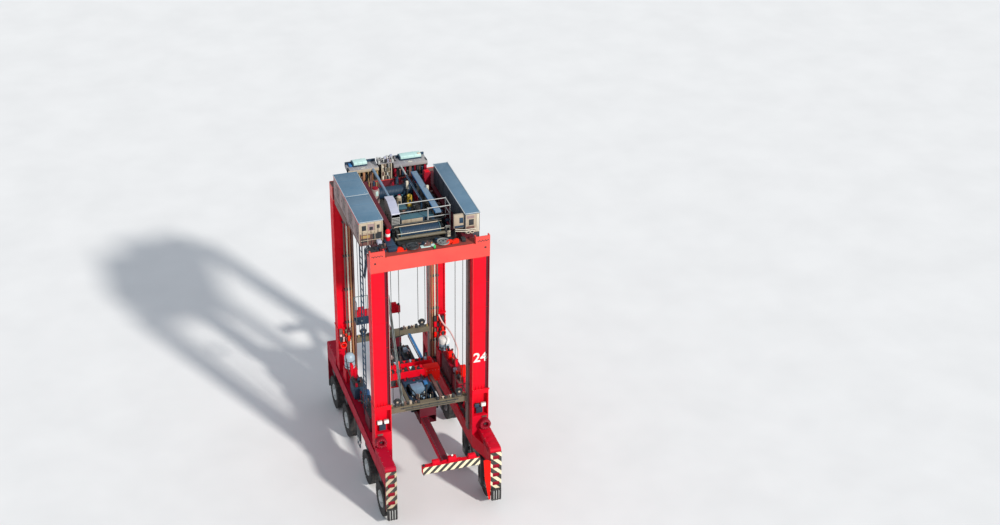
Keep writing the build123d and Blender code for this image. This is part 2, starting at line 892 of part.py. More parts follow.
def make_tyre(side_name, side, row, wheel_y):
    with BuildPart() as tyre:
        with BuildSketch(Plane.XZ):
            with Locations(((rim_radius + tyre_radius) / 2, 0)):
                Rectangle(tyre_radius - rim_radius, tyre_width)
        revolve(axis=Axis.Z)
        shoulders = tyre.edges().filter_by(GeomType.CIRCLE).sort_by(lambda edge: edge.radius)[-2:]
        fillet(shoulders, tyre_shoulder)
    tyre.part = tyre.part.moved(wheel_plane(side, wheel_y).location)
    save(tyre, f"tyre_{side_name}_{row}")


for side_name, side in sides.items():
    for row, wheel_y in wheel_rows.items():
        make_fork(side_name, side, row, wheel_y)
        make_rim(side_name, side, row, wheel_y)
        make_tyre(side_name, side, row, wheel_y)

# Spreader main beam: three webs between two flanges leave a bay for each telescopic arm
web_bottom = arm_bottom - arm_clearance
web_top = arm_top + arm_clearance
with BuildPart() as spreader_webs:
    for web_x in (-main_half, -main_wall / 2, main_half - main_wall):
        block(web_x, web_x + main_wall, -main_half_length, main_half_length, web_bottom, web_top)
save(spreader_webs, "spreader_webs")

with BuildPart() as spreader_flanges:
    block(-main_half, main_half, -main_half_length, main_half_length, main_bottom, web_bottom)
    block(-main_half, main_half, -main_half_length, main_half_length, web_top, main_top)
    for end in ends.values():
        block(-main_half, main_half, end * (rope_y - cross_width / 2), end * main_half_length, main_top,
              cross_bottom)
        pad_inner = end * (main_wall / 2 + arm_clearance)
        block(pad_inner, pad_inner + end * arm_width, end * main_half_length,
              end * (main_half_length - pad_length), web_bottom, arm_bottom - running_gap)
save(spreader_flanges, "spreader_flanges")

# Spreader cross beams with shoes that run against the guide rails
with BuildPart() as spreader_cross_beams:
    for end in ends.values():
        near = end * (rope_y - cross_width / 2)
        far = end * (rope_y + cross_width / 2)
        block(-cross_half, cross_half, near, far, cross_bottom, cross_top)
        for side in sides.values():
            block(side * cross_half, side * (rail_face - shoe_gap), near, far, cross_bottom, cross_top)
    bracket_face = hose_arm_x + hose_arm_thickness / 2 + hose_bracket_gap
    block(bracket_face, bracket_face + hose_bracket, hose_pivot_y - hose_bracket_lip,
          hose_pivot_y + hose_bracket_lip, cross_top, hose_pivot_z + hose_bracket_lip)
    rod_x(bracket_face, hose_arm_x - hose_arm_thickness / 2, hose_pivot_y, hose_pivot_z, hose_pin_radius)
save(spreader_cross_beams, "spreader_cross_beams")

# Sheaves with cheek plates on the cross beams
with BuildPart() as spreader_sheaves:
    for end in ends.values():
        for side in sides.values():
            centre_x = side * sheave_x
            with Locations((centre_x, end * rope_y, spreader_sheave_z)):
                Cylinder(sheave_radius - rope_radius - running_gap, sheave_width, rotation=(90, 0, 0))
            for cheek in (-1, 1):
                cheek_y = end * rope_y + cheek * (sheave_width / 2)
                block(centre_x - cheek_half, centre_x + cheek_half, cheek_y,
                      cheek_y + cheek * top_block_wall, cross_top, spreader_sheave_z + cheek_half)
save(spreader_sheaves, "spreader_sheaves")

# Red head of the spreader: a front beam with two windows and a back beam, both on feet
with BuildPart() as spreader_head:
    block(-head_half, head_half, head_front, head_rear, head_bottom, head_bottom + head_height)
    for window_left, window_right in (
            (-head_half + head_wall, -tie_x - tie_width - head_window_edge),
            (-tie_x + head_window_edge, head_box_left)):
        block(window_left, window_right, head_front, head_rear, head_bottom + head_wall,
              head_bottom + head_height - head_window_top, Mode.SUBTRACT)
    block(-head_foot_half, head_foot_half, head_front, head_rear, main_top, head_bottom)
    block(-back_half, back_half, back_front, back_rear, head_bottom, head_bottom + back_height)
    block(-head_foot_half, head_foot_half, back_front, back_rear, main_top, head_bottom)
save(spreader_head, "spreader_head")

# Tie beams from the cross beams to the head
with BuildPart() as spreader_ties:
    cross_face = rope_y - cross_width / 2
    for side in sides.values():
        for tie_start, tie_end in ((-cross_face, head_front), (head_rear, back_front), (back_rear, cross_face)):
            block(side * tie_x, side * (tie_x + tie_width), tie_start, tie_end, tie_bottom,
                  tie_bottom + tie_height)
save(spreader_ties, "spreader_ties")

# Tray, motor and pumps that stand on the main beam
with BuildPart() as spreader_units:
    unit(spreader_tray_left, spreader_tray_width, spreader_tray_front, spreader_tray_length, main_top,
         spreader_tray_height)
    unit(spreader_motor_left, spreader_motor_width, spreader_motor_front, spreader_motor_length,
         main_top + spreader_tray_height, spreader_motor_height)
    unit(rear_unit_left, rear_unit_width, rear_unit_front, rear_unit_length, main_top, rear_unit_height)
    unit(rear_pump_left, rear_pump_width, rear_pump_front, rear_pump_length, main_top, rear_pump_height)
save(spreader_units, "spreader_units")


# Telescopic arms, each with its end beam and two twistlocks
def make_telescope(end_name, end, side):
    with BuildPart() as telescope:
        arm_inner = side * (main_wall / 2 + arm_clearance)
        beam_near = end * (lock_y - end_beam_width / 2)
        beam_far = end * (lock_y + end_beam_width / 2)
        block(arm_inner, arm_inner + side * arm_width, end * arm_inner_end, beam_near, arm_bottom, arm_top)
        block(arm_inner, arm_inner + side * arm_width, end * arm_inner_end,
              end * (arm_inner_end + pad_length), arm_top, arm_top + arm_clearance - running_gap)
        block(-end_beam_half, end_beam_half, beam_near, beam_far, end_beam_bottom,
              end_beam_bottom + end_beam_height)
        for lock_side in sides.values():
            lock_centre = lock_side * lock_x
            neck_foot = seat_height - lock_neck
            rod_z(lock_centre, end * lock_y, neck_foot, end_beam_bottom, lock_neck_radius)
            block(lock_centre - lock_head_width / 2, lock_centre + lock_head_width / 2,
                  end * lock_y - lock_head_length / 2, end * lock_y + lock_head_length / 2,
                  neck_foot - lock_head_height, neck_foot)
    save(telescope, f"telescope_{end_name}")


make_telescope("front", -1, -1)
make_telescope("rear", 1, 1)

# Hose arm hinged in front of the left end of the front cross beam
with BuildPart() as hose_arm:
    tilt = radians(hose_arm_angle)
    pivot_plane = Plane(origin=(hose_arm_x, hose_pivot_y, hose_pivot_z), x_dir=(0, cos(tilt), sin(tilt)),
                        z_dir=(1, 0, 0))
    with BuildSketch(pivot_plane):
        with Locations((hose_arm_length / 2, 0)):
            Rectangle(hose_arm_length, hose_arm_depth)
        Circle(hose_arm_depth / 2)
        Circle(hose_pin_radius + running_gap, mode=Mode.SUBTRACT)
    extrude(amount=hose_arm_thickness / 2, both=True)
save(hose_arm, "hose_arm")
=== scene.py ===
"""Dresses the shuttle carrier: paint, wheels, housings, spreader, ropes and the small parts on them."""
import math
import random

import bmesh
import bpy
from mathutils import Matrix, Vector


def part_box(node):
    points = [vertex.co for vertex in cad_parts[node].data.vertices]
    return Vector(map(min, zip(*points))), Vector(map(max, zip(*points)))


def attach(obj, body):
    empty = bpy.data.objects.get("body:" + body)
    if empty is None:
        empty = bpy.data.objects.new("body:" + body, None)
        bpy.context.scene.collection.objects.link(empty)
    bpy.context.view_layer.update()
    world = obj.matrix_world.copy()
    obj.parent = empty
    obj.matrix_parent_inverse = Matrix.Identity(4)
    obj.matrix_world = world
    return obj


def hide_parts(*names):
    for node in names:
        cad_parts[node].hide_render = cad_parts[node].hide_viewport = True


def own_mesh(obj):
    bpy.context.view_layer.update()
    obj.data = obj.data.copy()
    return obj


bl_info = {
    "name": "Shuttle carrier dressing",
    "version": (1, 0, 0),
    "blender": (4, 5, 0),
    "location": "View3D > Sidebar > Carrier",
    "description": "Finishes and small parts of a container shuttle carrier",
    "category": "Object",
}

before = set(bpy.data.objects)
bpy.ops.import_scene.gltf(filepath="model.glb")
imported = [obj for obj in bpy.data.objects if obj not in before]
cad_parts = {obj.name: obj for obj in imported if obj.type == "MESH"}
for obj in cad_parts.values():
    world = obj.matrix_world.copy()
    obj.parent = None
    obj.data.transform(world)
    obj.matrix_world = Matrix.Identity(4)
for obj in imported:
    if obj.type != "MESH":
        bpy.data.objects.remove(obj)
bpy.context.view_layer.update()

# Names and directions that repeat
SIDES = {"left": -1, "right": 1}
ENDS = {"front": -1, "rear": 1}
ROWS = (1, 2, 3, 4)
LEFT, RIGHT = (-1, 0, 0), (1, 0, 0)
FRONT, REAR = (0, -1, 0), (0, 1, 0)
UP = (0, 0, 1)
SHARP_ANGLE = math.radians(32)
BOLT_ROOT = 0.004

# Heights and places of the frame, in metres
BEAM_TOP = 11.78
GIRDER_TOP = 11.9
GIRDER_OUTER = 1.91
DECK_TOP = 11.52
BOGIE_TOP = 2.65
BOGIE_BOTTOM = 2.0
NOSE_TOP = 2.95
NOSE_WIDTH = 0.47
FIN_FACE = 5.032
LEG_NEAR = 2.84
LEG_FAR = 3.36
JOINT_HEIGHT = 4.8
JOINT_THICKNESS = 0.06
JOINT_LIP = 0.025
LEG_PLATE = 0.04
LEG_RECESS = 0.06
FOOT_RECESS = 0.23
NUMBER_FOOT = 6.2
FONT_PER_DIGIT = 1.38
LAMP_DEPTH = 0.11
LAMP_WIDTH = 0.21
LAMP_INSET = 0.21
LAMP_HEIGHT = 4.05
LUG_WIDTH = 0.59
EYE_INSET = 0.19
EYE_DROP = 0.21
NOSE_PLATE = 0.05
NOSE_POCKETS = 4
NOSE_POCKET_WIDTH = 0.29
NOSE_POCKET_HEIGHT = 0.19
NOSE_POCKET_PITCH = 0.44
NOSE_POCKET_FIRST = 1.13
BUMPER_INSET = 0.02
BUMPER_DEPTH = 0.09

# Hoist
SHEAVE_RADIUS = 0.16
SHEAVE_WIDTH = 0.06
ROPE_RADIUS = 0.014
ROPE_TURNS = 40
ROPE_Y = 2.78
TOP_SHEAVE_HEIGHT = 11.0
FLAT_SHEAVE_X = 0.62
FLAT_SHEAVE_Y = 2.97
FLAT_SHEAVE_LIFT = 0.08
FLAT_SHEAVE_THICKNESS = 0.06
DRUM_REACH = 0.14
DRUM_FLANGE = 0.03
DRUM_TURNS = 24
DRUM_SHAFT = 0.0698
RAIL_FACE = 1.64
PIPE_RADIUS = 0.045
PIPE_X = 1.79
PIPE_PITCH = 0.12
PIPE_Y = 2.748
PIPE_TOP = 11.145

# Housings and deck
CAP_LIP = 0.025
CAP_THICKNESS = 0.04
HOUSE_SPLIT = (-0.08, -0.04)
DUCT_X = -0.65
CONDUIT_X = 0.53
DUCT_Z = 12.305
SHELF_FRONT = 2.9
FILTER_X = -1.0
FILTER_Y = 1.24
MOTOR_LEFT_X = -0.11
MOTOR_RIGHT_X = 0.33
MOTOR_Y = 0.85
LADDER_X = -2.18
LADDER_FRONT = -1.06
LADDER_WIDTH = 0.42
LANDING = 7.21
TANK_X = 2.13
TANK_Y = 2.07

# Wheels
RIM_RADIUS = 0.372
TYRE_LUGS = 34

# Spreader
CROSS_HEIGHT = 0.25
CROSS_WIDTH = 0.23
SPREADER_TOP = 3.555
SPREADER_END = 2.74
ARM_TOP = 3.525
ARM_INNER = 0.02
ARM_HEIGHT = 0.3
ARM_START = 1.49
ARM_COVER = 0.0097
LOCK_X = 1.1295
LOCK_Y = 5.9925
LOCK_SHANK = 0.0298
END_BEAM_TOP = 3.55
END_BEAM_HEIGHT = 0.35
END_BEAM_WIDTH = 0.225
HOSE_ARM_X = -1.09
HOSE_PIVOT_Y = 2.7
HOSE_PIVOT_Z = 4.44
HOSE_ARM_LENGTH = 4.46
HOSE_ARM_HALF = 0.104
HOSE_ARM_ANGLE = 65

# The camera, in the carrier's own frame
CAMERA_PLACE = (-16.394, -60.463, 46.370)
CAMERA_HEADING = math.radians(18.613)
CAMERA_PITCH = math.radians(30.576)
CAMERA_ROLL = math.radians(0.789)
CAMERA_LENS = 63.826


def add_piece(name, data, body):
    """Put a mesh or curve in the scene as a piece that rides on a body."""
    piece = bpy.data.objects.new(name, data)
    bpy.context.scene.collection.objects.link(piece)
    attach(piece, body)
    return piece


def faces_of(verts):
    """The faces round these vertices."""
    return list({face for vert in verts for face in vert.link_faces})


# Shapes
class Shape:
    """A mesh in the making, with the finishes of its faces, whose places are mirrored by its flip."""

    def __init__(self, finish):
        self.mesh = bmesh.new()
        self.finishes = [finish]
        self.current = 0
        self.flip = Vector((1, 1, 1))

    def use(self, finish):
        """Give the faces that follow this finish."""
        if finish not in self.finishes:
            self.finishes.append(finish)
        self.current = self.finishes.index(finish)
        return self

    def mirrored(self, side=1, end=1):
        """Mirror what follows to a side and an end of the carrier."""
        self.flip = Vector((side, end, 1))
        return self

    def corners(self):
        """Mirror what follows to each corner of the carrier in turn."""
        for end in ENDS.values():
            for side in SIDES.values():
                self.mirrored(side, end)
                yield side, end
        self.mirrored()

    def mark(self, verts):
        """Set the current finish on the faces of these vertices."""
        for face in faces_of(verts):
            face.material_index = self.current
        return verts

    def turn_to(self, verts, centre, axis):
        """Stand vertices that were made along Z along another axis, at a centre."""
        turn = Vector(UP).rotation_difference(axis).to_matrix().to_4x4()
        bmesh.ops.transform(self.mesh, matrix=Matrix.Translation(centre) @ turn, verts=verts)

    def box(self, low, high, bevel=0.0, segments=2):
        """Add a box between two corners, its edges bevelled."""
        low, high = Vector(low) * self.flip, Vector(high) * self.flip
        size = Vector(abs(part) for part in high - low)
        verts = self.mark(bmesh.ops.create_cube(self.mesh, size=1.0)["verts"])
        bmesh.ops.scale(self.mesh, vec=size, verts=verts)
        bmesh.ops.translate(self.mesh, vec=(low + high) / 2, verts=verts)
        if bevel:
            edges = list({edge for vert in verts for edge in vert.link_edges})
            bmesh.ops.bevel(self.mesh, geom=edges, offset=bevel, segments=segments, profile=0.5,
                            affect="EDGES", material=-1, clamp_overlap=True)
        return self

    def boxes(self, *rows):
        """Add boxes, each given by its corners and perhaps its bevel."""
        for row in rows:
            self.box(*row)
        return self

    def rod(self, start, stop, radius, sides=16):
        """Add a round bar from one point to another."""
        start, stop = Vector(start) * self.flip, Vector(stop) * self.flip
        along = stop - start
        verts = bmesh.ops.create_cone(self.mesh, cap_ends=True, cap_tris=False, segments=sides,
                                      radius1=radius, radius2=radius, depth=along.length)["verts"]
        self.turn_to(self.mark(verts), (start + stop) / 2, along.normalized())
        return self

    def path(self, points, radius, sides):
        """Add straight pipe runs through the points, with round elbows."""
        for start, stop in zip(points, points[1:]):
            self.rod(start, stop, radius, sides)
        for point in points[1:-1]:
            self.ball(point, radius * 1.06, sides)
        return self

    def ball(self, centre, radius, sides):
        """Add a sphere."""
        verts = bmesh.ops.create_uvsphere(self.mesh, u_segments=sides, v_segments=max(6, sides // 2),
                                          radius=radius)["verts"]
        bmesh.ops.translate(self.mesh, vec=Vector(centre) * self.flip, verts=self.mark(verts))
        return self

    def lathe(self, profile, centre, axis, steps=48):
        """Spin an outline of (radius, height) points into a closed ring or disc about an axis."""
        verts = [self.mesh.verts.new((radius, 0.0, height)) for radius, height in profile]
        edges = [self.mesh.edges.new(pair) for pair in zip(verts, verts[1:])]
        spun = bmesh.ops.spin(self.mesh, geom=verts + edges, cent=(0, 0, 0), axis=UP,
                              angle=2 * math.pi, steps=steps, use_merge=True)
        whole = {vert for vert in verts if vert.is_valid}
        whole |= {item for item in spun["geom_last"] if isinstance(item, bmesh.types.BMVert)}
        group = self.linked(next(iter(whole)))
        bmesh.ops.remove_doubles(self.mesh, verts=group, dist=1e-5)
        group = self.mark([vert for vert in group if vert.is_valid])
        self.turn_to(group, Vector(centre) * self.flip, Vector(axis) * self.flip)
        bmesh.ops.recalc_face_normals(self.mesh, faces=faces_of(group))
        return self

    def linked(self, seed):
        """All vertices joined to one vertex by edges."""
        found, queue = {seed}, [seed]
        while queue:
            for edge in queue.pop().link_edges:
                for vert in edge.verts:
                    if vert not in found:
                        found.add(vert)
                        queue.append(vert)
        return list(found)

    def plate(self, outline, thickness, origin, across, up=UP):
        """Add a flat plate: an outline of (across, up) points, thickened both ways."""
        across, up = (Vector(across) * self.flip).normalized(), (Vector(up) * self.flip).normalized()
        normal = across.cross(up)
        corner = Vector(origin) * self.flip - normal * thickness / 2
        verts = [self.mesh.verts.new(corner + across * a + up * b) for a, b in outline]
        raised = bmesh.ops.extrude_face_region(self.mesh, geom=[self.mesh.faces.new(verts)])["geom"]
        top = [item for item in raised if isinstance(item, bmesh.types.BMVert)]
        bmesh.ops.translate(self.mesh, vec=normal * thickness, verts=top)
        bmesh.ops.recalc_face_normals(self.mesh, faces=faces_of(self.mark(verts + top)))
        return self

    def bolts(self, places, direction, radius=0.012, height=0.012):
        """Add hexagon heads at the places, standing up along a direction."""
        direction = Vector(direction).normalized()
        for place in places:
            foot = Vector(place)
            self.rod(foot - direction * BOLT_ROOT, foot + direction * height, radius, 6)
        return self

    def done(self, name, body, slot, *replaced):
        """Turn the shape into a piece that rides on a body, perhaps in the place of some nodes."""
        mesh = bpy.data.meshes.new(name)
        self.mesh.to_mesh(mesh)
        self.mesh.free()
        for finish in self.finishes:
            mesh.materials.append(finish_named(finish))
        mesh.shade_smooth()
        mesh.set_sharp_from_angle(angle=SHARP_ANGLE)
        piece = add_piece(name, mesh, body)
        if replaced:
            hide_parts(*replaced)
        return piece


def hoses(name, routes, radius, finish, body):
    """Smooth pipes or hoses along routes of points, as one curve piece."""
    curve = bpy.data.curves.new(name, "CURVE")
    curve.dimensions = "3D"
    curve.bevel_depth = radius
    curve.bevel_resolution = 3
    curve.use_fill_caps = True
    for route in routes:
        spline = curve.splines.new("NURBS")
        spline.points.add(len(route) - 1)
        for point, place in zip(spline.points, route):
            point.co = (*place, 1.0)
        spline.order_u = 3
        spline.use_endpoint_u = True
        spline.resolution_u = 6
    curve.materials.append(finish_named(finish))
    return add_piece(name, curve, body)


# Finishes
made_finishes = {}


def finish_named(name):
    """The finish of that name, made once."""
    if name not in made_finishes:
        if name in PAINTS:
            made_finishes[name] = painted(f"{name}_paint", *PAINTS[name])
        else:
            maker, *values = FINISHES[name]
            made_finishes[name] = maker(name, *values)
    return made_finishes[name]


class Finish:
    """A node material with a principled shader and a few helpers."""

    def __init__(self, name):
        self.material = bpy.data.materials.new(name)
        self.material.use_nodes = True
        self.tree = self.material.node_tree
        self.shader = self.tree.nodes["Principled BSDF"]
        self.place = self.tree.nodes.new("ShaderNodeTexCoord").outputs["Object"]

    def feed(self, socket, value):
        """Give a socket a colour, a number or another node's output."""
        if isinstance(value, tuple):
            socket.default_value = (*value, 1.0)
        elif isinstance(value, (int, float)):
            socket.default_value = value
        else:
            self.tree.links.new(value, socket)

    def node(self, kind, **inputs):
        """A new node with some of its inputs fed, a space in an input's name written as an underscore."""
        node = self.tree.nodes.new(f"ShaderNode{kind}")
        for name, value in inputs.items():
            self.feed(node.inputs[name.replace("_", " ")], value)
        return node

    def noise(self, scale, detail, stretch=(1, 1, 1), rough=0.55):
        """Noise on the object's own place, stretched along its axes."""
        mapping = self.node("Mapping", Vector=self.place)
        mapping.inputs["Scale"].default_value = stretch
        return self.node("TexNoise", Scale=scale, Detail=detail, Roughness=rough,
                         Vector=mapping.outputs["Vector"]).outputs["Fac"]

    def ramp(self, value, low, high, start=0.0, stop=1.0):
        """Map a value so that low gives start and high gives stop."""
        return self.node("MapRange", Value=value, From_Min=low, From_Max=high, To_Min=start,
                         To_Max=stop).outputs["Result"]

    def mix(self, share, first, second):
        """Blend two colours, each a colour or an output."""
        node = self.tree.nodes.new("ShaderNodeMix")
        node.data_type = "RGBA"
        for name, value in (("A", first), ("B", second), ("Factor", share)):
            self.feed(node.inputs[name], value)
        return node.outputs["Result"]

    def maths(self, operation, first, second=0.0):
        """One maths step on outputs or numbers."""
        node = self.node("Math")
        node.operation = operation
        for socket, value in zip(node.inputs, (first, second)):
            self.feed(socket, value)
        return node.outputs["Value"]

    def axis(self, name, scale=None):
        """One coordinate of the object's own place, perhaps scaled."""
        value = self.node("SeparateXYZ", Vector=self.place).outputs[name]
        return value if scale is None else self.maths("MULTIPLY", value, scale)

    def ridges(self, value):
        """Round ridges from 0 to 1 along a value."""
        return self.maths("ABSOLUTE", self.maths("SINE", value))

    def bump(self, height, distance, strength):
        """Raise the surface by a height, for the light alone."""
        node = self.node("Bump", Strength=strength, Distance=distance, Height=height)
        self.feed(self.shader.inputs["Normal"], node.outputs["Normal"])

    def finish(self, colour, rough, metal=0.0):
        """Join a colour and roughness to the shader."""
        for name, value in (("Base Color", colour), ("Roughness", rough), ("Metallic", metal)):
            self.feed(self.shader.inputs[name], value)
        return self.material


def painted(name, colour, shade, grime, gloss=0.38, streaks=0.5, shine=0.5, foot=None):
    """Outdoor paint: soft fading, rain streaks, dust, fine orange peel and perhaps a painted shade that
    darkens the foot.
    """
    paint = Finish(name)
    base = paint.mix(paint.ramp(paint.noise(0.9, 5), 0.35, 0.7), colour, shade)
    # Painted shade: below about 4.6 m the colour darkens towards the foot colour
    if foot:
        height = paint.maths("ADD", paint.axis("Z"), paint.noise(0.8, 3))
        base = paint.mix(paint.ramp(height, 3.4, 4.6, 0.75, 0.0), base, foot)
    rain = paint.ramp(paint.noise(7.0, 5, (1, 1, 0.09), 0.65), 0.56, 0.78, 0.0, streaks)
    spots = paint.ramp(paint.noise(16.0, 6, (1, 1, 1), 0.7), 0.64, 0.74, 0.0, 0.7)
    spotted = paint.mix(spots, paint.mix(rain, base, grime), grime)
    rough = paint.ramp(paint.noise(5.0, 4), 0.3, 0.7, gloss - 0.06, gloss + 0.16)
    paint.bump(paint.noise(3.5, 3), 0.004, 0.35)
    paint.shader.inputs["Specular IOR Level"].default_value = shine
    return paint.finish(spotted, rough)


# Paints: the clean colour, the faded one, the dirt, and where it matters gloss, streaks, shine and foot, the
# colour of a painted shade low down
PAINTS = {
    # red: its last colour is the painted shade that darkens the feet of the legs and the bogies
    "red": ((0.82, 0.003, 0.020), (0.66, 0.003, 0.015), (0.30, 0.015, 0.02), 0.45, 0.45, 0.14,
            (0.48, 0.003, 0.022)),
    "deep_red": ((0.30, 0.004, 0.020), (0.21, 0.004, 0.016), (0.10, 0.02, 0.022), 0.55, 0.5, 0.2),
    "maroon": ((0.13, 0.010, 0.022), (0.09, 0.012, 0.02), (0.05, 0.02, 0.022), 0.55, 0.5, 0.25),
    # shade_red: a darker red, painted shade on the left bogie beam and its fittings
    "shade_red": ((0.50, 0.004, 0.030), (0.38, 0.004, 0.024), (0.20, 0.012, 0.03), 0.5, 0.5, 0.14),
    "signal": ((0.95, 0.008, 0.003), (0.85, 0.006, 0.003), (0.5, 0.03, 0.02), 0.45, 0.3, 0.14),
    # sunlit_red: a lighter red, painted sunlight on the portal beams and a painted highlight on the legs'
    # edge beads
    "sunlit_red": ((0.80, 0.075, 0.055), (0.72, 0.055, 0.045), (0.40, 0.06, 0.045)),
    "rusty_red": ((0.30, 0.055, 0.045), (0.20, 0.05, 0.04), (0.09, 0.05, 0.04), 0.6, 0.7, 0.2),
    "orange": ((0.85, 0.030, 0.010), (0.70, 0.022, 0.010), (0.30, 0.04, 0.03), 0.45, 0.5, 0.2),
    "brown": ((0.13, 0.055, 0.05), (0.19, 0.11, 0.09), (0.05, 0.035, 0.03), 0.5),
    "brass": ((0.44, 0.30, 0.10), (0.34, 0.24, 0.12), (0.12, 0.08, 0.04), 0.45),
    "olive": ((0.12, 0.11, 0.075), (0.18, 0.15, 0.10), (0.06, 0.045, 0.035), 0.5),
    "teal": ((0.03, 0.10, 0.14), (0.05, 0.14, 0.18), (0.10, 0.11, 0.10), 0.42),
    # navy leans blue as painted shade: the blue cast of shade under the sky
    "navy": ((0.007, 0.030, 0.066), (0.012, 0.045, 0.09), (0.035, 0.04, 0.05), 0.5),
    "drum": ((0.11, 0.15, 0.17), (0.17, 0.20, 0.21), (0.07, 0.07, 0.06), 0.42),
    "slate": ((0.14, 0.23, 0.34), (0.19, 0.29, 0.40), (0.09, 0.10, 0.11), 0.4),
    "sky": ((0.30, 0.42, 0.52), (0.40, 0.50, 0.57), (0.14, 0.15, 0.15), 0.35),
    "lavender": ((0.40, 0.42, 0.55), (0.52, 0.53, 0.62), (0.24, 0.22, 0.25), 0.42),
    "cream": ((0.72, 0.68, 0.56), (0.62, 0.58, 0.48), (0.26, 0.20, 0.13), 0.45),
    # dusty: on the engine house's left-wall doors this pink is painted shade; elsewhere it is the parts' own
    # colour
    "dusty": ((0.36, 0.25, 0.24), (0.28, 0.21, 0.21), (0.13, 0.07, 0.07), 0.55),
    "rose": ((0.80, 0.52, 0.50), (0.72, 0.50, 0.48), (0.40, 0.22, 0.20), 0.5),
    "cabinet": ((0.035, 0.048, 0.068), (0.06, 0.075, 0.10), (0.13, 0.12, 0.10), 0.5),
    "seam": ((0.46, 0.52, 0.56), (0.56, 0.60, 0.62), (0.24, 0.22, 0.18), 0.45),
    # dark leans blue as painted shade: the blue cast of shade under the sky
    "dark": ((0.018, 0.024, 0.030), (0.032, 0.038, 0.042), (0.09, 0.075, 0.06), 0.45),
    "grey": ((0.20, 0.22, 0.22), (0.28, 0.29, 0.28), (0.10, 0.09, 0.07), 0.45),
    "arm": ((0.13, 0.17, 0.17), (0.19, 0.23, 0.23), (0.07, 0.07, 0.06), 0.45),
    "pale_grey": ((0.46, 0.47, 0.46), (0.54, 0.55, 0.54), (0.22, 0.19, 0.15), 0.45),
    "beige": ((0.50, 0.42, 0.31), (0.40, 0.34, 0.26), (0.17, 0.11, 0.07), 0.5, 0.7),
    "shelf": ((0.27, 0.26, 0.29), (0.36, 0.34, 0.33), (0.13, 0.11, 0.11), 0.55),
    # roof: the blue is a painted reflection of the sky on grey roofs
    "roof": ((0.085, 0.175, 0.265), (0.13, 0.23, 0.33), (0.24, 0.28, 0.30), 0.36, 0.3),
    "pale_box": ((0.50, 0.74, 0.72), (0.60, 0.80, 0.76), (0.30, 0.36, 0.34), 0.4),
    "blue": ((0.012, 0.06, 0.18), (0.02, 0.085, 0.22), (0.06, 0.06, 0.06), 0.42),
    "tie": ((0.02, 0.16, 0.42), (0.035, 0.20, 0.46), (0.10, 0.12, 0.14), 0.42),
    "yellow": ((0.72, 0.50, 0.06), (0.62, 0.42, 0.05), (0.24, 0.15, 0.04), 0.42),
    "tan": ((0.42, 0.20, 0.09), (0.34, 0.16, 0.08), (0.15, 0.09, 0.06), 0.55),
    "rim": ((0.62, 0.64, 0.64), (0.52, 0.54, 0.54), (0.22, 0.18, 0.14), 0.42),
    "plain_white": ((0.80, 0.79, 0.76), (0.74, 0.73, 0.70), (0.55, 0.30, 0.28), 0.5),
}


def metal(name, clean, worn, patches, polish, grain, metallic):
    """Bare or zinc-coated metal: patches of (scale, detail, limit), polish and grain of their own scales."""
    steel = Finish(name)
    scale, detail, limit = patches
    colour = steel.mix(steel.ramp(steel.noise(scale, detail), 0.35, limit), clean, worn)
    rough = steel.ramp(steel.noise(polish[0], 3), 0.3, 0.7, *polish[1:])
    steel.bump(steel.noise(grain[0], 2), grain[1], 0.3)
    return steel.finish(colour, rough, metallic)


def rubber(name, clean, dusty, dust, grain, rough):
    """Dusty rubber: dust of (scale, detail, start, stop, amount) and grain of (scale, detail, depth)."""
    black = Finish(name)
    scale, detail, start, stop, amount = dust
    colour = black.mix(black.ramp(black.noise(scale, detail), start, stop, 0.0, amount), clean, dusty)
    black.bump(black.noise(*grain[:2]), grain[2], 0.4)
    return black.finish(colour, rough)


def wire(name, dark, bright):
    """Twisted wire rope: slanting ridges round the strand."""
    rope = Finish(name)
    strand = rope.ridges(rope.maths("ADD", rope.axis("Z", 90.0), rope.axis("X", 160.0)))
    rope.bump(strand, 0.004, 0.8)
    return rope.finish(rope.mix(strand, dark, bright), 0.6)


def glass(name, ribs, dark, bright, rough, coat=0.0):
    """A lamp's ribbed lens."""
    lens = Finish(name)
    share = lens.ridges(lens.axis(*ribs))
    if coat:
        lens.bump(share, 0.002, 0.5)
        lens.shader.inputs["Coat Weight"].default_value = coat
    return lens.finish(lens.mix(share, dark, bright), rough)


def hazard(name, slope, pitch=2.2, black=0.5, cream=(0.80, 0.72, 0.50)):
    """Cream and black slanting stripes, scuffed. Slope is 1 for rising to +X and -1 for falling."""
    stripes = Finish(name)
    run = stripes.maths("SUBTRACT", stripes.axis("Z"), stripes.axis("X", slope))
    wave = stripes.maths("FRACT", stripes.maths("MULTIPLY", run, pitch))
    clean = stripes.mix(stripes.ramp(wave, 0.99 - black, 1.01 - black), cream, (0.035, 0.033, 0.03))
    scuff = stripes.ramp(stripes.noise(14.0, 6, (1, 1, 1), 0.7), 0.56, 0.72, 0.0, 0.6)
    stripes.bump(stripes.noise(5.0, 3), 0.003, 0.3)
    return stripes.finish(stripes.mix(scuff, clean, (0.30, 0.25, 0.17)), 0.5)


def open_floor(name, dark, bright):
    """Open floor bars, as bright ridges over dark gaps."""
    floor = Finish(name)
    across, lengthways = (floor.ridges(floor.axis(*row)) for row in (("X", 90.0), ("Y", 30.0)))
    bars = floor.ramp(floor.maths("MAXIMUM", across, lengthways), 0.8, 0.95)
    floor.bump(bars, 0.01, 0.6)
    return floor.finish(floor.mix(bars, dark, bright), 0.55, 0.2)


def ground(name, dark, bright):
    """A pale floor that reads as white to the camera and keeps the shadow."""
    sheet = Finish(name)
    return sheet.finish(sheet.mix(sheet.ramp(sheet.noise(0.35, 2), 0.3, 0.7), dark, bright), 0.9)


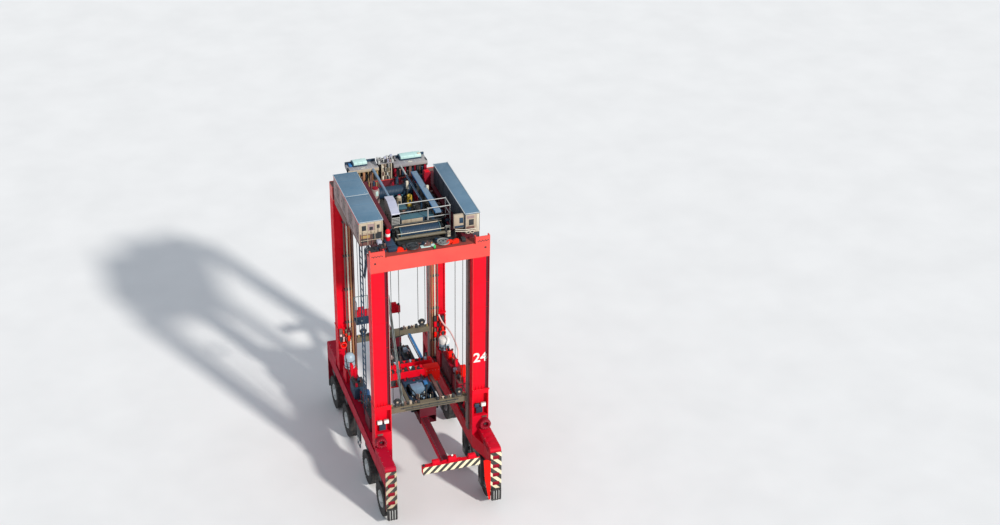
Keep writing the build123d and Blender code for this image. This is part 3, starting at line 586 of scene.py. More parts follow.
# Other finishes: the function that makes each, and its values
FINISHES = {
    "bare_steel": (metal, (0.42, 0.42, 0.41), (0.30, 0.30, 0.29), (9.0, 5, 0.7), (30.0, 0.36, 0.55),
                   (60.0, 0.001), 0.75),
    "galvanised": (metal, (0.45, 0.46, 0.46), (0.60, 0.61, 0.60), (24.0, 3, 0.65), (12.0, 0.42, 0.6),
                   (80.0, 0.0006), 0.45),
    "tyre_rubber": (rubber, (0.018, 0.018, 0.019), (0.075, 0.068, 0.06), (6.0, 5, 0.42, 0.72, 0.7),
                    (90.0, 3, 0.002), 0.78),
    "black_rubber": (rubber, (0.02, 0.02, 0.021), (0.08, 0.075, 0.07), (11.0, 4, 0.45, 0.75, 0.6),
                     (120.0, 2, 0.001), 0.62),
    "rope_steel": (wire, (0.010, 0.010, 0.011), (0.05, 0.05, 0.048)),
    "lamp_glass": (glass, ("X", 240.0), (0.85, 0.82, 0.70), (0.95, 0.94, 0.88), 0.12, 1.0),
    "green_glass": (glass, ("Z", 200.0), (0.02, 0.42, 0.08), (0.06, 0.62, 0.16), 0.15),
    # The rising stripes have a duller cream, painted shade for the shaded left front nose plate
    "hazard_rising_shaded": (hazard, 1.0, 2.2, 0.52, (0.50, 0.42, 0.29)),
    "hazard_falling": (hazard, -1.0, 2.2, 0.56),
    "hazard_spreader": (hazard, 1.0, 2.9),
    "grating": (open_floor, (0.015, 0.016, 0.017), (0.10, 0.105, 0.105)),
    "floor_sheet": (ground, (0.78, 0.79, 0.80), (0.82, 0.83, 0.84)),
}

# The finish of each node, by the start of its name. The side girders' maroon and the left bogie beam's darker
# red are painted shade; the portal beams' lighter red is painted sunlight
NODE_FINISH = {"bogie_beam": "red", "bogie_beam_left": "shade_red", "leg": "red", "portal_beam": "sunlit_red",
               "side_girders": "maroon", "deck_frame": "grating", "rear_platform": "grey",
               "engine_house": "beige", "electric_cabinet": "cabinet", "deck_units": "pale_grey",
               "deck_railings": "pale_grey", "top_sheaves": "grey", "hoist_ropes": "rope_steel",
               "guide_rails": "brown", "cable_pipes": "tan", "access_ladder": "navy",
               "headlamps": "lamp_glass", "nose_plates": "hazard_rising_shaded", "bumper_posts": "black_rubber",
               "bogie_units": "grey", "hoist_drum": "drum", "spreader_flanges": "maroon",
               "spreader_webs": "maroon", "spreader_ties": "olive", "spreader_cross_beams": "olive",
               "spreader_sheaves": "pale_grey", "spreader_head": "red", "spreader_units": "dark",
               "telescope": "red", "hose_arm": "grey", "fork": "dark", "rim": "rim", "tyre": "tyre_rubber"}


def finish_for(node):
    """The finish name of a node, by the longest matching start of its name."""
    starts = [start for start in NODE_FINISH if node.startswith(start)]
    return NODE_FINISH[max(starts, key=len)]


def paint_nodes():
    """Give every node its finish."""
    for name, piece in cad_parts.items():
        finish = finish_named(finish_for(name))
        if not piece.material_slots:
            piece.data.materials.append(finish)
        for held in piece.material_slots:
            held.material = finish


# The stage
def make_stage():
    """Pale floor, soft light and the camera at the photograph's angle."""
    link = bpy.context.scene.collection.objects.link
    sheet = Shape("floor_sheet").box((-400, -400, -0.06), (400, 400, -0.01))
    mesh = bpy.data.meshes.new("floor")
    sheet.mesh.to_mesh(mesh)
    sheet.mesh.free()
    mesh.materials.append(finish_named("floor_sheet"))
    floor = bpy.data.objects.new("floor", mesh)
    link(floor)

    world = bpy.data.worlds.new("sky")
    world.use_nodes = True
    backdrop = world.node_tree.nodes["Background"]
    backdrop.inputs["Color"].default_value = (0.80, 0.86, 0.94, 1.0)
    backdrop.inputs["Strength"].default_value = 0.6
    bpy.context.scene.world = world

    key = bpy.data.lights.new("key", "SUN")
    key.energy = 3.4
    key.angle = math.radians(4)
    key.color = (1.0, 0.95, 0.88)
    key_lamp = bpy.data.objects.new("key", key)
    key_lamp.rotation_euler = (math.radians(58), 0.0, math.radians(24))
    link(key_lamp)

    lens = bpy.data.cameras.new("camera")
    lens.lens = CAMERA_LENS
    lens.sensor_width = 36.0
    lens.clip_end = 1500.0
    camera = bpy.data.objects.new("camera", lens)
    level = Vector((math.cos(CAMERA_HEADING), -math.sin(CAMERA_HEADING), 0.0))
    ahead = Vector((math.sin(CAMERA_HEADING), math.cos(CAMERA_HEADING), 0.0))
    forward = ahead * math.cos(CAMERA_PITCH) - Vector(UP) * math.sin(CAMERA_PITCH)
    upright = level.cross(forward)
    right = level * math.cos(CAMERA_ROLL) + upright * math.sin(CAMERA_ROLL)
    top = upright * math.cos(CAMERA_ROLL) - level * math.sin(CAMERA_ROLL)
    turned = Matrix((right, top, -forward)).transposed()
    camera.matrix_world = Matrix.Translation(CAMERA_PLACE) @ turned.to_4x4()
    link(camera)
    bpy.context.scene.camera = camera
    bpy.context.scene.view_settings.view_transform = "Standard"


# Outlines and places that more than one piece uses
def closed(outline):
    """An outline of (radius, height) points, closed by its mirror image on the other side of height 0."""
    return outline + [(radius, -height) for radius, height in reversed(outline) if height] + outline[:1]


def ring(inner, outer, low, high):
    """Outline of a plain ring."""
    return [(inner, low), (outer, low), (outer, high), (inner, high), (inner, low)]


def circle(centre, across, up, radius, count):
    """Points evenly round a centre, in the plane of two directions."""
    turns = [math.tau * index / count for index in range(count)]
    centre, across, up = Vector(centre), Vector(across), Vector(up)
    return [centre + across * (radius * math.cos(turn)) + up * (radius * math.sin(turn)) for turn in turns]


def grid(start, stop, count):
    """Evenly spread values from one to another, the ends included."""
    return [start + (stop - start) * index / (count - 1) for index in range(count)]


def span(low, high, axis):
    """The least and the greatest distance of a box from the middle, along an axis."""
    return sorted((abs(low[axis]), abs(high[axis])))


def face_of(origin, across):
    """An upright face: its corner and its two directions."""
    return Vector(origin), Vector(across), Vector(UP)


def place_on(face, spot, rise):
    """The point at (across, up) on a face, standing off it by a rise."""
    origin, across, up = face
    return origin + across * spot[0] + up * spot[1] + across.cross(up) * rise


def slab(shape, face, spot, size, rise, bevel=0.005):
    """Add a raised rectangle on a face."""
    corner = (spot[0] + size[0], spot[1] + size[1])
    return shape.box(place_on(face, spot, -0.002), place_on(face, corner, rise), bevel, 1)


def slabs(shape, face, bevel, rows):
    """Add raised rectangles on a face, each with its finish, spot, size and rise."""
    for finish, spot, size, rise in rows:
        slab(shape.use(finish), face, spot, size, rise, bevel)


def door(shape, face, spot, size, paint, louvres):
    """Add a panel door with hinges, a handle and perhaps louvres."""
    wide, tall = size
    slab(shape.use(paint), face, spot, size, 0.016)
    shape.use("dark")
    for share in (0.2, 0.8):
        slab(shape, face, (spot[0] + 0.008, spot[1] + tall * share - 0.035), (0.02, 0.07), 0.020, 0.003)
    slab(shape, face, (spot[0] + wide - 0.07, spot[1] + tall * 0.5 - 0.05), (0.024, 0.10), 0.024, 0.003)
    if louvres:
        inset = 0.09
        grille = (wide - 2 * inset, tall - 2 * inset)
        slab(shape, face, (spot[0] + inset, spot[1] + inset), grille, 0.018, 0.0)
        shape.use(paint)
        pitch = grille[1] / louvres
        for index in range(louvres):
            lift = spot[1] + inset + (index + 0.3) * pitch
            slab(shape, face, (spot[0] + inset, lift), (grille[0], pitch * 0.4), 0.024, 0.003)


def clutter(shape, low, high, finishes, count, seed, skip=0):
    """Fill a space with a row of small pumps, boxes and pipe bends that stand close together."""
    draw = random.Random(seed)
    finishes = finishes.split()[skip:]
    low, high = Vector(low), Vector(high)
    size = high - low
    long_axis, short_axis = (0, 1) if size.x > size.y else (1, 0)
    pitch = size[long_axis] / count
    room = size[short_axis]
    for index in range(count):
        shape.use(finishes[index % len(finishes)])
        centre = low.copy()
        half = min(pitch * draw.uniform(0.35, 0.5), room / 2)
        centre[long_axis] += pitch * (index + 0.5)
        centre[short_axis] += draw.uniform(half, room - half) if room > 2 * half else half
        tall = size.z * draw.uniform(0.5, 1.0)
        reach = Vector((half, half, 0))
        head = centre + Vector((0, 0, tall))
        neck = head - Vector((0, 0, half * 0.5))
        if index % 3 == 0:
            shape.box(centre - reach, head + reach, half * 0.12)
        elif index % 3 == 1:
            shape.rod(centre, head - Vector((0, 0, 0.04)), half * 0.62, 14)
            shape.rod(head - Vector((0, 0, 0.05)), head, half * 0.8, 14)
        else:
            shape.box(centre - reach * 0.5, neck + reach * 0.5, 0.008)
            reach[short_axis] = 0
            shape.rod(neck - reach, neck + reach, half * 0.45, 14)


def machine_box(shape, low, high, paint, cover="dark"):
    """A painted casing with a raised cover, cover bolts and cooling ribs."""
    low, high = Vector(low), Vector(high)
    shape.use(paint).box(low, high - Vector((0, 0, 0.02)), 0.02)
    shape.use(cover).box((low.x + 0.03, low.y + 0.03, high.z - 0.03),
                         (high.x - 0.03, high.y - 0.03, high.z - 0.006), 0.006)
    length = high.y - low.y
    shape.use("bare_steel").bolts(
        [(x, y, high.z - 0.006) for x in (low.x + 0.05, high.x - 0.05)
         for y in grid(low.y + 0.06, high.y - 0.06, max(2, int(length / 0.25)))], UP, 0.009, 0.006)
    shape.use(paint)
    for y in grid(low.y + 0.05, high.y - 0.06, max(2, int(length / 0.12))):
        for x, out in ((low.x, -1), (high.x, 1)):
            shape.box((x - 0.001, y, low.z + 0.06), (x + out * 0.004, y + 0.012, high.z - 0.08))


def sheave_profile(radius, half, bore):
    """Outline of a grooved sheave, from its bore round the rim and back."""
    deep = radius - 1.7 * ROPE_RADIUS
    return closed([
        (bore, -0.9 * half), (0.42 * radius, -0.9 * half), (0.46 * radius, -0.45 * half),
        (0.80 * radius, -0.45 * half), (0.86 * radius, -half), (radius, -half),
        (radius - 0.3 * ROPE_RADIUS, -0.7 * half), (deep, -0.32 * half), (deep - 0.15 * ROPE_RADIUS, 0.0),
    ])


def doors(shape, face, length, tall, margins, paint, louvres):
    """Add a row of doors along a face, each with its number of louvres."""
    pitch = length / len(louvres)
    gap, foot = margins
    for index, count in enumerate(louvres):
        door(shape, face, (index * pitch + gap, foot), (pitch - 2 * gap, tall - 2 * foot), paint, count)


def border(shape, low, high, across, along):
    """Add a seam round the edge of a roof."""
    for x in (low[0], high[0] - across):
        shape.box((x, *low[1:]), (x + across, *high[1:]), 0.004)
    for y in (low[1], high[1] - along):
        shape.box((low[0], y, low[2]), (high[0], y + along, high[2]), 0.004)


# Wheels
def make_tyre(side_name, row):
    """Tyre with a rounded carcass, two grooves and shoulder lugs."""
    node = f"tyre_{side_name}_{row}"
    low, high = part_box(node)
    centre = (low + high) / 2
    outer = (high.z - low.z) / 2
    half = (high.x - low.x) / 2
    crown = outer - 0.012
    wall = ((0, 0.72), (0.03, 0.9), (0.12, 0.995), (0.22, 0.99))
    tread = ((0.055, 0.95), (0.02, 0.86), (0.004, 0.66), (0, 0.30), (0.02, 0.28), (0.02, 0.22), (0, 0.20))
    outline = [(RIM_RADIUS + out, -wide * half) for out, wide in wall]
    outline += [(crown - deep, -wide * half) for deep, wide in tread]
    tyre = Shape("tyre_rubber").lathe(closed(outline), centre, RIGHT, 64)
    for index in range(TYRE_LUGS):
        for edge in (-1, 1):
            turn = Matrix.Rotation(math.tau * (index + 0.25 * edge) / TYRE_LUGS, 4, "X")
            before = set(tyre.mesh.verts)
            tyre.box((edge * 0.42 * half, -0.045, crown - 0.05), (edge * 0.93 * half, 0.045, outer - 0.001))
            fresh = [vert for vert in tyre.mesh.verts if vert not in before]
            bmesh.ops.transform(tyre.mesh, matrix=Matrix.Translation(centre) @ turn, verts=fresh)
    tyre.done(f"tyre_tread_{side_name}_{row}", f"wheel_{side_name}_{row}", "tyre_black", node)


def make_rim(side_name, row):
    """Dished pale rim with a hub, wheel nuts and a valve."""
    node, side = f"rim_{side_name}_{row}", SIDES[side_name]
    tyre_low, tyre_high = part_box(f"tyre_{side_name}_{row}")
    centre = (tyre_low + tyre_high) / 2
    half = (tyre_high.x - tyre_low.x) / 2 - 0.012
    reach = span(*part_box(node), 0)[1] - abs(centre.x)
    edge = RIM_RADIUS
    dish = [(0.082, -0.5), (0.16, -0.5), (0.16, -0.1), (edge - 0.03, -0.1), (edge - 0.03, -0.94),
            (edge - 0.012, -0.98), (edge, -0.9), (edge, 0.9), (edge - 0.012, 0.98), (edge - 0.028, 0.94),
            (edge - 0.034, 0.5), (0.30, 0.32), (0.235, 0.42), (0.225, 0.62), (0.145, 0.66), (0.135, 0.95)]
    outline = [(radius, height * half) for radius, height in dish]
    outline += [(0.11, reach - 0.004), (0.0, reach - 0.002), (0.0, 0.3 * half), (0.082, 0.3 * half),
                outline[0]]
    rim = Shape("rim").lathe(outline, centre, (side, 0, 0))
    rim.use("bare_steel")
    for nut in circle(centre + Vector((side * 0.62 * half, 0, 0)), REAR, UP, 0.19, 14):
        rim.rod(nut, nut + Vector((side * 0.03, 0, 0)), 0.019, 6)
    valve = centre + Vector((side * 0.45 * half, 0.0, 0.30))
    rim.use("black_rubber").rod(valve, valve + Vector((side * 0.05, 0, -0.02)), 0.008, 8)
    rim.done(f"rim_face_{side_name}_{row}", f"wheel_{side_name}_{row}", "rim_white", node)


# Legs
def make_leg_fittings(end_name, side_name):
    """Gussets and bolts at the joint, a lighter bead on one plate edge as a painted highlight, and a dark
    band beside the other plate as its painted shadow, with a pale strip on that edge as a painted highlight.
    """
    end, side = ENDS[end_name], SIDES[side_name]
    low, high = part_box(f"leg_{end_name}_{side_name}")
    inner, outer = span(low, high, 0)
    near, far = span(low, high, 1)
    outer, near, far = outer - JOINT_LIP, near + JOINT_LIP, far - JOINT_LIP
    foot = JOINT_HEIGHT + JOINT_THICKNESS
    leg = Shape("red").mirrored(side, end)
    for face, out in ((near + LEG_RECESS, -1), (far - LEG_RECESS, 1)):
        for x in grid(inner + LEG_PLATE, outer - LEG_PLATE, 6)[1:-1]:
            leg.plate([(0, 0), (0.052, 0), (0.052, 0.03), (0.012, 0.19), (0, 0.19)], 0.012, (x, face, foot),
                      (0, out, 0))
        for height in grid(foot + 1.6, high.z - 1.2, 4):
            leg.box((inner + LEG_PLATE, face, height - 0.004),
                    (outer - LEG_PLATE, face + out * 0.006, height + 0.004))
    # The maroon band on the web beside one plate is the painted shadow of that plate; the rose strip on its
    # edge is a painted highlight
    edge, way = (outer, -1) if side * end < 0 else (inner, 1)
    leg.use("maroon").boxes(
        ((edge + way * LEG_PLATE, far - LEG_RECESS, foot),
         (edge + way * (LEG_PLATE + 0.10), far - LEG_RECESS + 0.004, high.z)),
        ((edge + way * 0.014, far, foot), (edge + way * LEG_PLATE, far + 0.003, high.z)))
    leg.use("rose").box((edge, far, foot), (edge + way * 0.012, far + 0.004, high.z))
    # The lighter red bead along the other plate edge is a painted highlight
    bead = edge + way * (outer - inner - 0.006)
    leg.use("sunlit_red").rod((bead, far - 0.004, foot), (bead, far - 0.004, high.z), 0.007, 8)
    places = [(x, far + JOINT_LIP / 2, foot) for x in grid(inner + 0.04, outer - 0.04, 9)]
    places += [(outer + JOINT_LIP / 2, y, foot) for y in grid(near + 0.04, far - 0.04, 6)]
    leg.use("bare_steel").bolts(places, UP, 0.009)
    leg.done(f"leg_fittings_{end_name}_{side_name}", "frame", "red_paint")


def make_fleet_number():
    """Plain raised number on the front right leg."""
    settings = bpy.context.scene.carrier_finish
    low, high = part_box("leg_front_right")
    words = bpy.data.curves.new("number", "FONT")
    words.body = settings.fleet_number
    words.size = settings.number_height * FONT_PER_DIGIT
    words.align_x = "CENTER"
    words.extrude = 0.002
    words.offset = 0.014
    holder = bpy.data.objects.new("number_words", words)
    bpy.context.scene.collection.objects.link(holder)
    mesh = bpy.data.meshes.new_from_object(holder)
    bpy.data.objects.remove(holder)
    mesh.name = "fleet_number"
    place = ((low.x + high.x - JOINT_LIP) / 2, low.y + JOINT_LIP + LEG_RECESS - 0.002, NUMBER_FOOT)
    mesh.transform(Matrix.Translation(place) @ Matrix.Rotation(math.pi / 2, 4, "X"))
    mesh.materials.clear()
    mesh.materials.append(finish_named("plain_white"))
    add_piece("fleet_number", mesh, "frame")


def make_headlamps():
    """Square lamps with bezels in the leg feet, each pair over a dark control box."""
    low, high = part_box("headlamps")
    leg_low, leg_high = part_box("leg_front_right")
    spots = (leg_low.x + LAMP_INSET, leg_high.x - JOINT_LIP - LAMP_INSET)
    face, back, wall = high.y, high.y - LAMP_DEPTH, high.y - FOOT_RECESS
    lamps = Shape("dark")
    for end in ENDS.values():
        lamps.mirrored(1, end)
        for side in SIDES.values():
            for x in spots:
                centre = side * x
                left, right = centre - LAMP_WIDTH / 2, centre + LAMP_WIDTH / 2
                unlit = side > 0 and x == spots[0]
                lamps.use("dark" if unlit else "pale_grey")
                lamps.box((left, face - 0.012, low.z), (right, back, high.z), 0.02, 3)
                lamps.use("navy" if unlit else "lamp_glass")
                lamps.box((left + 0.012, face, low.z + 0.012), (right - 0.012, face - 0.02, high.z - 0.012),
                          0.008)
                lamps.use("dark").rod((centre, back, LAMP_HEIGHT), (centre, wall, LAMP_HEIGHT), 0.028, 12)
                lamps.bolts([(left, back + 0.032, LAMP_HEIGHT)], LEFT, 0.012, 0.01)
            middle = side * sum(spots) / 2
            lamps.use("navy").box((middle - 0.15, wall, 3.62), (middle + 0.13, wall + 0.15, 3.9), 0.015)
            lamps.use("dark")
            for level in grid(3.65, 3.87, 6):
                lamps.box((middle - 0.13, wall + 0.148, level), (middle + 0.11, wall + 0.156, level + 0.015),
                          0.002)
    lamps.done("headlamp_units", "frame", "lamp_white", "headlamps")


# Bogies
def make_bogie_fittings(side_name):
    """Flange strips, ribs, bolts, pads, gussets and cable runs along a bogie beam, and one fin."""
    side = SIDES[side_name]
    low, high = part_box(f"bogie_beam_{side_name}")
    outer = span(low, high, 0)[1]
    inner = outer - NOSE_WIDTH
    # The left side's darker red is painted shade
    red = "red" if side > 0 else "shade_red"
    bogie = Shape(red).mirrored(side)
    for height in (BOGIE_TOP - 0.03, low.z + 0.06):
        bogie.box((outer - 0.02, low.y + 0.05, height), (outer, high.y - 0.05, height + 0.03))
    for y in grid(-4.4, 4.4, 12):
        bogie.box((outer - 0.01, y - 0.008, BOGIE_BOTTOM + 0.03), (outer, y + 0.008, BOGIE_TOP - 0.03))
    hood = [y for y in grid(-4.85, 4.85, 30) if abs(y) > LEG_FAR + 0.06]
    bogie.use("bare_steel").bolts([(x, y, NOSE_TOP) for y in hood for x in (outer - 0.03, inner + 0.03)], UP)
    for end in ENDS.values():
        bogie.mirrored(side, end).use("deep_red")
        for level in (BOGIE_TOP + 0.02, NOSE_TOP - 0.2):
            for y in (4.25, 4.62):
                bogie.box((inner + 0.002, y - 0.12, level), (inner - 0.03, y + 0.12, level + 0.09), 0.005, 1)
        bogie.use(red)
        if side > 0:
            for y in (3.75, 4.1, 4.45):
                bogie.box((inner + 0.09, y, NOSE_TOP), (outer - 0.09, y + 0.19, NOSE_TOP + 0.010), 0.004)
            if end < 0:
                bogie.use("signal").plate(
                    [(0, 0), (0, 1.95), (-0.14, 2.05), (-0.30, 2.05), (-0.25, 1.12), (-0.07, 0)], 0.02,
                    (inner, FIN_FACE, 0.45), RIGHT)
                bogie.use(red)
        bogie.plate([(0, 0.6), (1.2, 0.6), (1.5, 1.15), (1.5, 1.55), (0, 1.55)], 0.02,
                    (inner, 3.42, NOSE_TOP - 1.58), REAR)
    bogie.mirrored(side).use("dark")
    for x in (1.80, 1.85, 1.90):
        bogie.rod((x, -2.7, BOGIE_TOP + 0.03), (x, 2.7, BOGIE_TOP + 0.03), 0.018, 8)
    for y in grid(-2.6, 2.6, 11):
        bogie.box((1.76, y, BOGIE_TOP), (1.94, y + 0.04, BOGIE_TOP + 0.055), 0.004)
    bogie.done(f"bogie_fittings_{side_name}", "frame", "red_paint")


def make_nose_plate(end_name, side_name):
    """A striped plate with stepped pockets in front of an outer wheel."""
    low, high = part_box("nose_plates")
    inner, outer, face = high.x - NOSE_WIDTH, high.x, high.y
    back = face - NOSE_PLATE / 2
    left, right = (inner + outer - NOSE_POCKET_WIDTH) / 2, (inner + outer + NOSE_POCKET_WIDTH) / 2
    rising = SIDES[side_name] == ENDS[end_name]
    # The rising stripes' duller cream is painted shade
    stripes = "hazard_rising_shaded" if rising else "hazard_falling"
    plate = Shape("deep_red").mirrored(SIDES[side_name], ENDS[end_name])
    plate.box((inner, back, low.z), (outer, face - NOSE_PLATE, high.z), 0.006)
    for edge in (inner, outer - 0.025):
        plate.box((edge, face - NOSE_PLATE, low.z), (edge + 0.025, face - 0.12, BOGIE_BOTTOM), 0.004)
    plate.use(stripes)
    for start, stop in ((inner, left), (right, outer)):
        plate.box((start, face, low.z), (stop, back, high.z), 0.004)
    levels = [low.z]
    plate.use("deep_red")
    for index in range(NOSE_POCKETS):
        foot = NOSE_POCKET_FIRST + index * NOSE_POCKET_PITCH
        levels += [foot, foot + NOSE_POCKET_HEIGHT]
        plate.box((left, face - 0.008, foot + 0.02), (right, back, foot + 0.05), 0.004)
        for x in grid(left + 0.03, right - 0.03, 7):
            plate.rod((x, face - 0.008, foot + 0.048), (x, face - 0.008, foot + 0.058), 0.008, 6)
    levels.append(high.z)
    plate.use(stripes)
    for foot, head in zip(levels[::2], levels[1::2]):
        plate.box((left, face, foot), (right, back, head))
    plate.use("bare_steel").bolts([(x, face, z) for x in (inner + 0.03, outer - 0.03)
                                   for z in grid(low.z + 0.06, high.z - 0.06, 9)], REAR, 0.011, 0.008)
    replaced = ["nose_plates"] if (end_name, side_name) == ("front", "left") else []
    plate.done(f"nose_plate_{end_name}_{side_name}", "frame", "hazard_yellow", *replaced)


def make_bumpers():
    """Ribbed rubber bumpers with pale strips under the nose plates."""
    low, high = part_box("bumper_posts")
    inner, outer = high.x - NOSE_WIDTH + 2 * BUMPER_INSET, high.x
    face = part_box("nose_plates")[1].y
    front = face + BUMPER_DEPTH
    bumpers = Shape("black_rubber")
    for _ in bumpers.corners():
        bumpers.use("black_rubber").box((inner, face, low.z), (outer, front, high.z), 0.018, 3)
        for x in grid(inner + 0.054, outer - 0.054, 4):
            bumpers.rod((x, front, low.z + 0.01), (x, front, high.z - 0.01), 0.026)
        bumpers.use("pale_grey")
        for x in grid(inner + 0.108, outer - 0.108, 3):
            bumpers.box((x - 0.014, front - 0.004, low.z + 0.06), (x + 0.014, front + 0.008, high.z - 0.06),
                        0.004)
        bumpers.use("bare_steel").bolts([(x, front, z) for x in (inner + 0.02, outer - 0.02)
                                         for z in (low.z + 0.05, high.z - 0.05)], REAR, 0.012, 0.01)
    bumpers.done("bumpers", "frame", "black_rubber", "bumper_posts")


def make_fork_fittings(side_name, row):
    """Drive housing, hoses and bolts on the inboard arm of a wheel fork."""
    low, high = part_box(f"fork_{side_name}_{row}")
    tyre_low, tyre_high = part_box(f"tyre_{side_name}_{row}")
    hub = (tyre_low + tyre_high) / 2
    x = span(low, high, 0)[0]
    fork = Shape("dark").mirrored(SIDES[side_name])
    fork.use("bare_steel").bolts(circle((x, hub.y, hub.z), REAR, UP, 0.15, 12), LEFT, 0.013)
    fork.use("grey").rod((x, hub.y, hub.z), (x - 0.02, hub.y, hub.z), 0.12, 32)
    fork.rod((x - 0.02, hub.y, hub.z), (x - 0.035, hub.y, hub.z), 0.07, 24)
    fork.use("dark")
    for y, edge in ((low.y, 0.02), (high.y, -0.02)):
        fork.box((x - 0.012, y, hub.z + 0.2), (x, y + edge, high.z - 0.4), 0.003)
    fork.use("black_rubber")
    for y in (hub.y - 0.05, hub.y + 0.05):
        fork.rod((x - 0.022, y, hub.z + 0.1), (x - 0.022, y, hub.z + 0.7), 0.012, 8)
    fork.done(f"fork_fittings_{side_name}_{row}", f"fork_{side_name}_{row}_body", "dark_frame")


# Portal beams, sheaves and ropes
def make_beam_fittings(end_name):
    """Dirty top sheet, eye rings and stiffeners on a portal beam, and bolted lugs on the front one."""
    end = ENDS[end_name]
    low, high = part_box(f"portal_beam_{end_name}")
    near, far = span(low, high, 1)
    foot, outer = low.z, high.x
    lugs = end_name == "front"
    lug = outer - LUG_WIDTH
    # The lighter red of the beam and its fittings is painted sunlight
    beam = Shape("sunlit_red").mirrored(1, end)
    beam.box((low.x + 0.01, far - 0.03, foot), (outer - 0.01, far, foot + 0.03), 0.006)
    flange = lug - 0.06 if lugs else outer - 0.01
    beam.box((-flange, far - 0.03, BEAM_TOP), (flange, far, BEAM_TOP + 0.022), 0.006)
    beam.use("rusty_red" if lugs else "brown")
    for start, stop, cut in ((-lug, lug, 0.035), (-outer, -lug, 0.2), (lug, outer, 0.2)):
        edge = far - (cut if lugs else 0.035)
        beam.box((start, near + 0.004, BEAM_TOP), (stop, edge, BEAM_TOP + 0.004))
    if not lugs:
        beam.use("maroon").box((low.x + 0.02, near - 0.003, foot + 0.04),
                               (outer - 0.02, near, BEAM_TOP - 0.02))
    for side in SIDES.values():
        beam.mirrored(side, end)
        if lugs:
            beam.use("sunlit_red")
            for x in grid(lug + 0.10, outer - 0.10, 4):
                beam.plate([(0, 0), (0.13, 0), (0, 0.24)], 0.016, (x, far - 0.045, BEAM_TOP), FRONT)
            beam.use("dark").bolts([(x, far - 0.045, BEAM_TOP + lift) for lift in (0.05, 0.21)
                                    for x in grid(lug + 0.07, outer - 0.07, 7)], FRONT, 0.019, 0.02)
            beam.bolts([(x, far, BEAM_TOP + 0.09 + 0.03 * (index % 2))
                        for index, x in enumerate(grid(lug + 0.10, outer - 0.08, 8))], REAR, 0.024)
        x, z = outer - EYE_INSET, BEAM_TOP - EYE_DROP
        beam.use("dark").rod((x, far - 0.06, z), (x, far - 0.02, z), 0.045, 24)
        beam.use("sunlit_red").box((outer - 0.012, near + 0.02, foot + 0.02),
                                  (outer, near + 0.05, BEAM_TOP - 0.02), 0.003)
    beam.mirrored(1, end).use("deep_red")
    for x in grid(low.x + 0.9, outer - 0.9, 6):
        beam.box((x - 0.006, near, foot + 0.06), (x + 0.006, near - 0.02, BEAM_TOP - 0.06))
    beam.done(f"beam_fittings_{end_name}", "frame", "red_paint")


def make_sheaves():
    """Grooved sheaves in their blocks: four hanging, and two lying flat on the front beam."""
    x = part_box("top_sheaves")[1].x - SHEAVE_RADIUS + ROPE_RADIUS
    beam_low, beam_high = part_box("portal_beam_front")
    wall, foot, z = -beam_high.y, beam_low.z, TOP_SHEAVE_HEIGHT
    outline = sheave_profile(SHEAVE_RADIUS - ROPE_RADIUS + 0.004, SHEAVE_WIDTH / 2, 0.03)
    sheaves = Shape("pale_grey")
    for _ in sheaves.corners():
        sheaves.use("pale_grey").lathe(outline, (x, ROPE_Y, z), REAR, 40)
        sheaves.use("dark").rod((x, ROPE_Y - 0.034, z), (x, wall, z), 0.055, 20)
        sheaves.box((x - 0.06, wall - 0.025, z - 0.1), (x + 0.06, wall, foot + 0.25), 0.01)
        sheaves.box((x - 0.05, ROPE_Y - 0.042, z - 0.05), (x + 0.05, ROPE_Y - 0.034, z + 0.05), 0.003)
        sheaves.use("bare_steel").bolts([(x + dx, wall - 0.025, foot + dz) for dx in (-0.035, 0.035)
                                         for dz in (0.06, 0.12, 0.18)], FRONT)
    hub = closed([(0.05, -0.026), (0.09, -0.026), (0.09, -0.012), (0.13, -0.010)])
    groove = closed([(0.19, -0.012), (0.21, -0.028), (0.248, -0.028), (0.238, -0.018), (0.225, 0.0)])
    for side in SIDES.values():
        foot = Vector((side * FLAT_SHEAVE_X, -FLAT_SHEAVE_Y, BEAM_TOP))
        centre = foot + Vector((0, 0, FLAT_SHEAVE_LIFT + FLAT_SHEAVE_THICKNESS / 2))
        sheaves.use("dark" if side < 0 else "grey").lathe(hub, centre, UP, 32).lathe(groove, centre, UP)
        for ends in zip(*(circle(centre, RIGHT, REAR, radius, 6) for radius in (0.12, 0.2))):
            sheaves.rod(*ends, 0.014, 8)
        sheaves.use("dark").rod(foot, foot + Vector((0, 0, FLAT_SHEAVE_LIFT + 0.062)), 0.05, 20)
        sheaves.rod(foot, foot + Vector((0, 0, 0.03)), 0.09, 24)
    sheaves.done("sheave_blocks", "frame", "grey_paint", "top_sheaves")


def make_rope(name, x, y):
    """Six strands laid round each other, from the spreader's sheave up to the fixed one."""
    low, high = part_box("hoist_ropes")
    rope = Shape("rope_steel")
    sides = 18
    rings = ROPE_TURNS * 6
    outline = []
    for index in range(sides):
        angle = math.tau * index / sides
        radius = ROPE_RADIUS * (0.86 + 0.12 * abs(math.cos(3 * angle)))
        outline.append(rope.mesh.verts.new((radius * math.cos(angle), radius * math.sin(angle), 0)))
    section = [rope.mesh.edges.new((outline[i - 1], outline[i])) for i in range(sides)]
    bmesh.ops.spin(rope.mesh, geom=outline + section, cent=(0, 0, 0), axis=UP,
                   dvec=(0, 0, (high.z - low.z) / rings), angle=math.tau * ROPE_TURNS, steps=rings,
                   use_merge=False)
    bmesh.ops.translate(rope.mesh, vec=(x, y, low.z), verts=rope.mesh.verts[:])
    bmesh.ops.recalc_face_normals(rope.mesh, faces=rope.mesh.faces[:])
    rope.mark(rope.mesh.verts[:])
    replaced = ["hoist_ropes"] if name.endswith("front_left_1") else []
    piece = rope.done(name, "frame", "rope_steel", *replaced)
    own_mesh(piece)


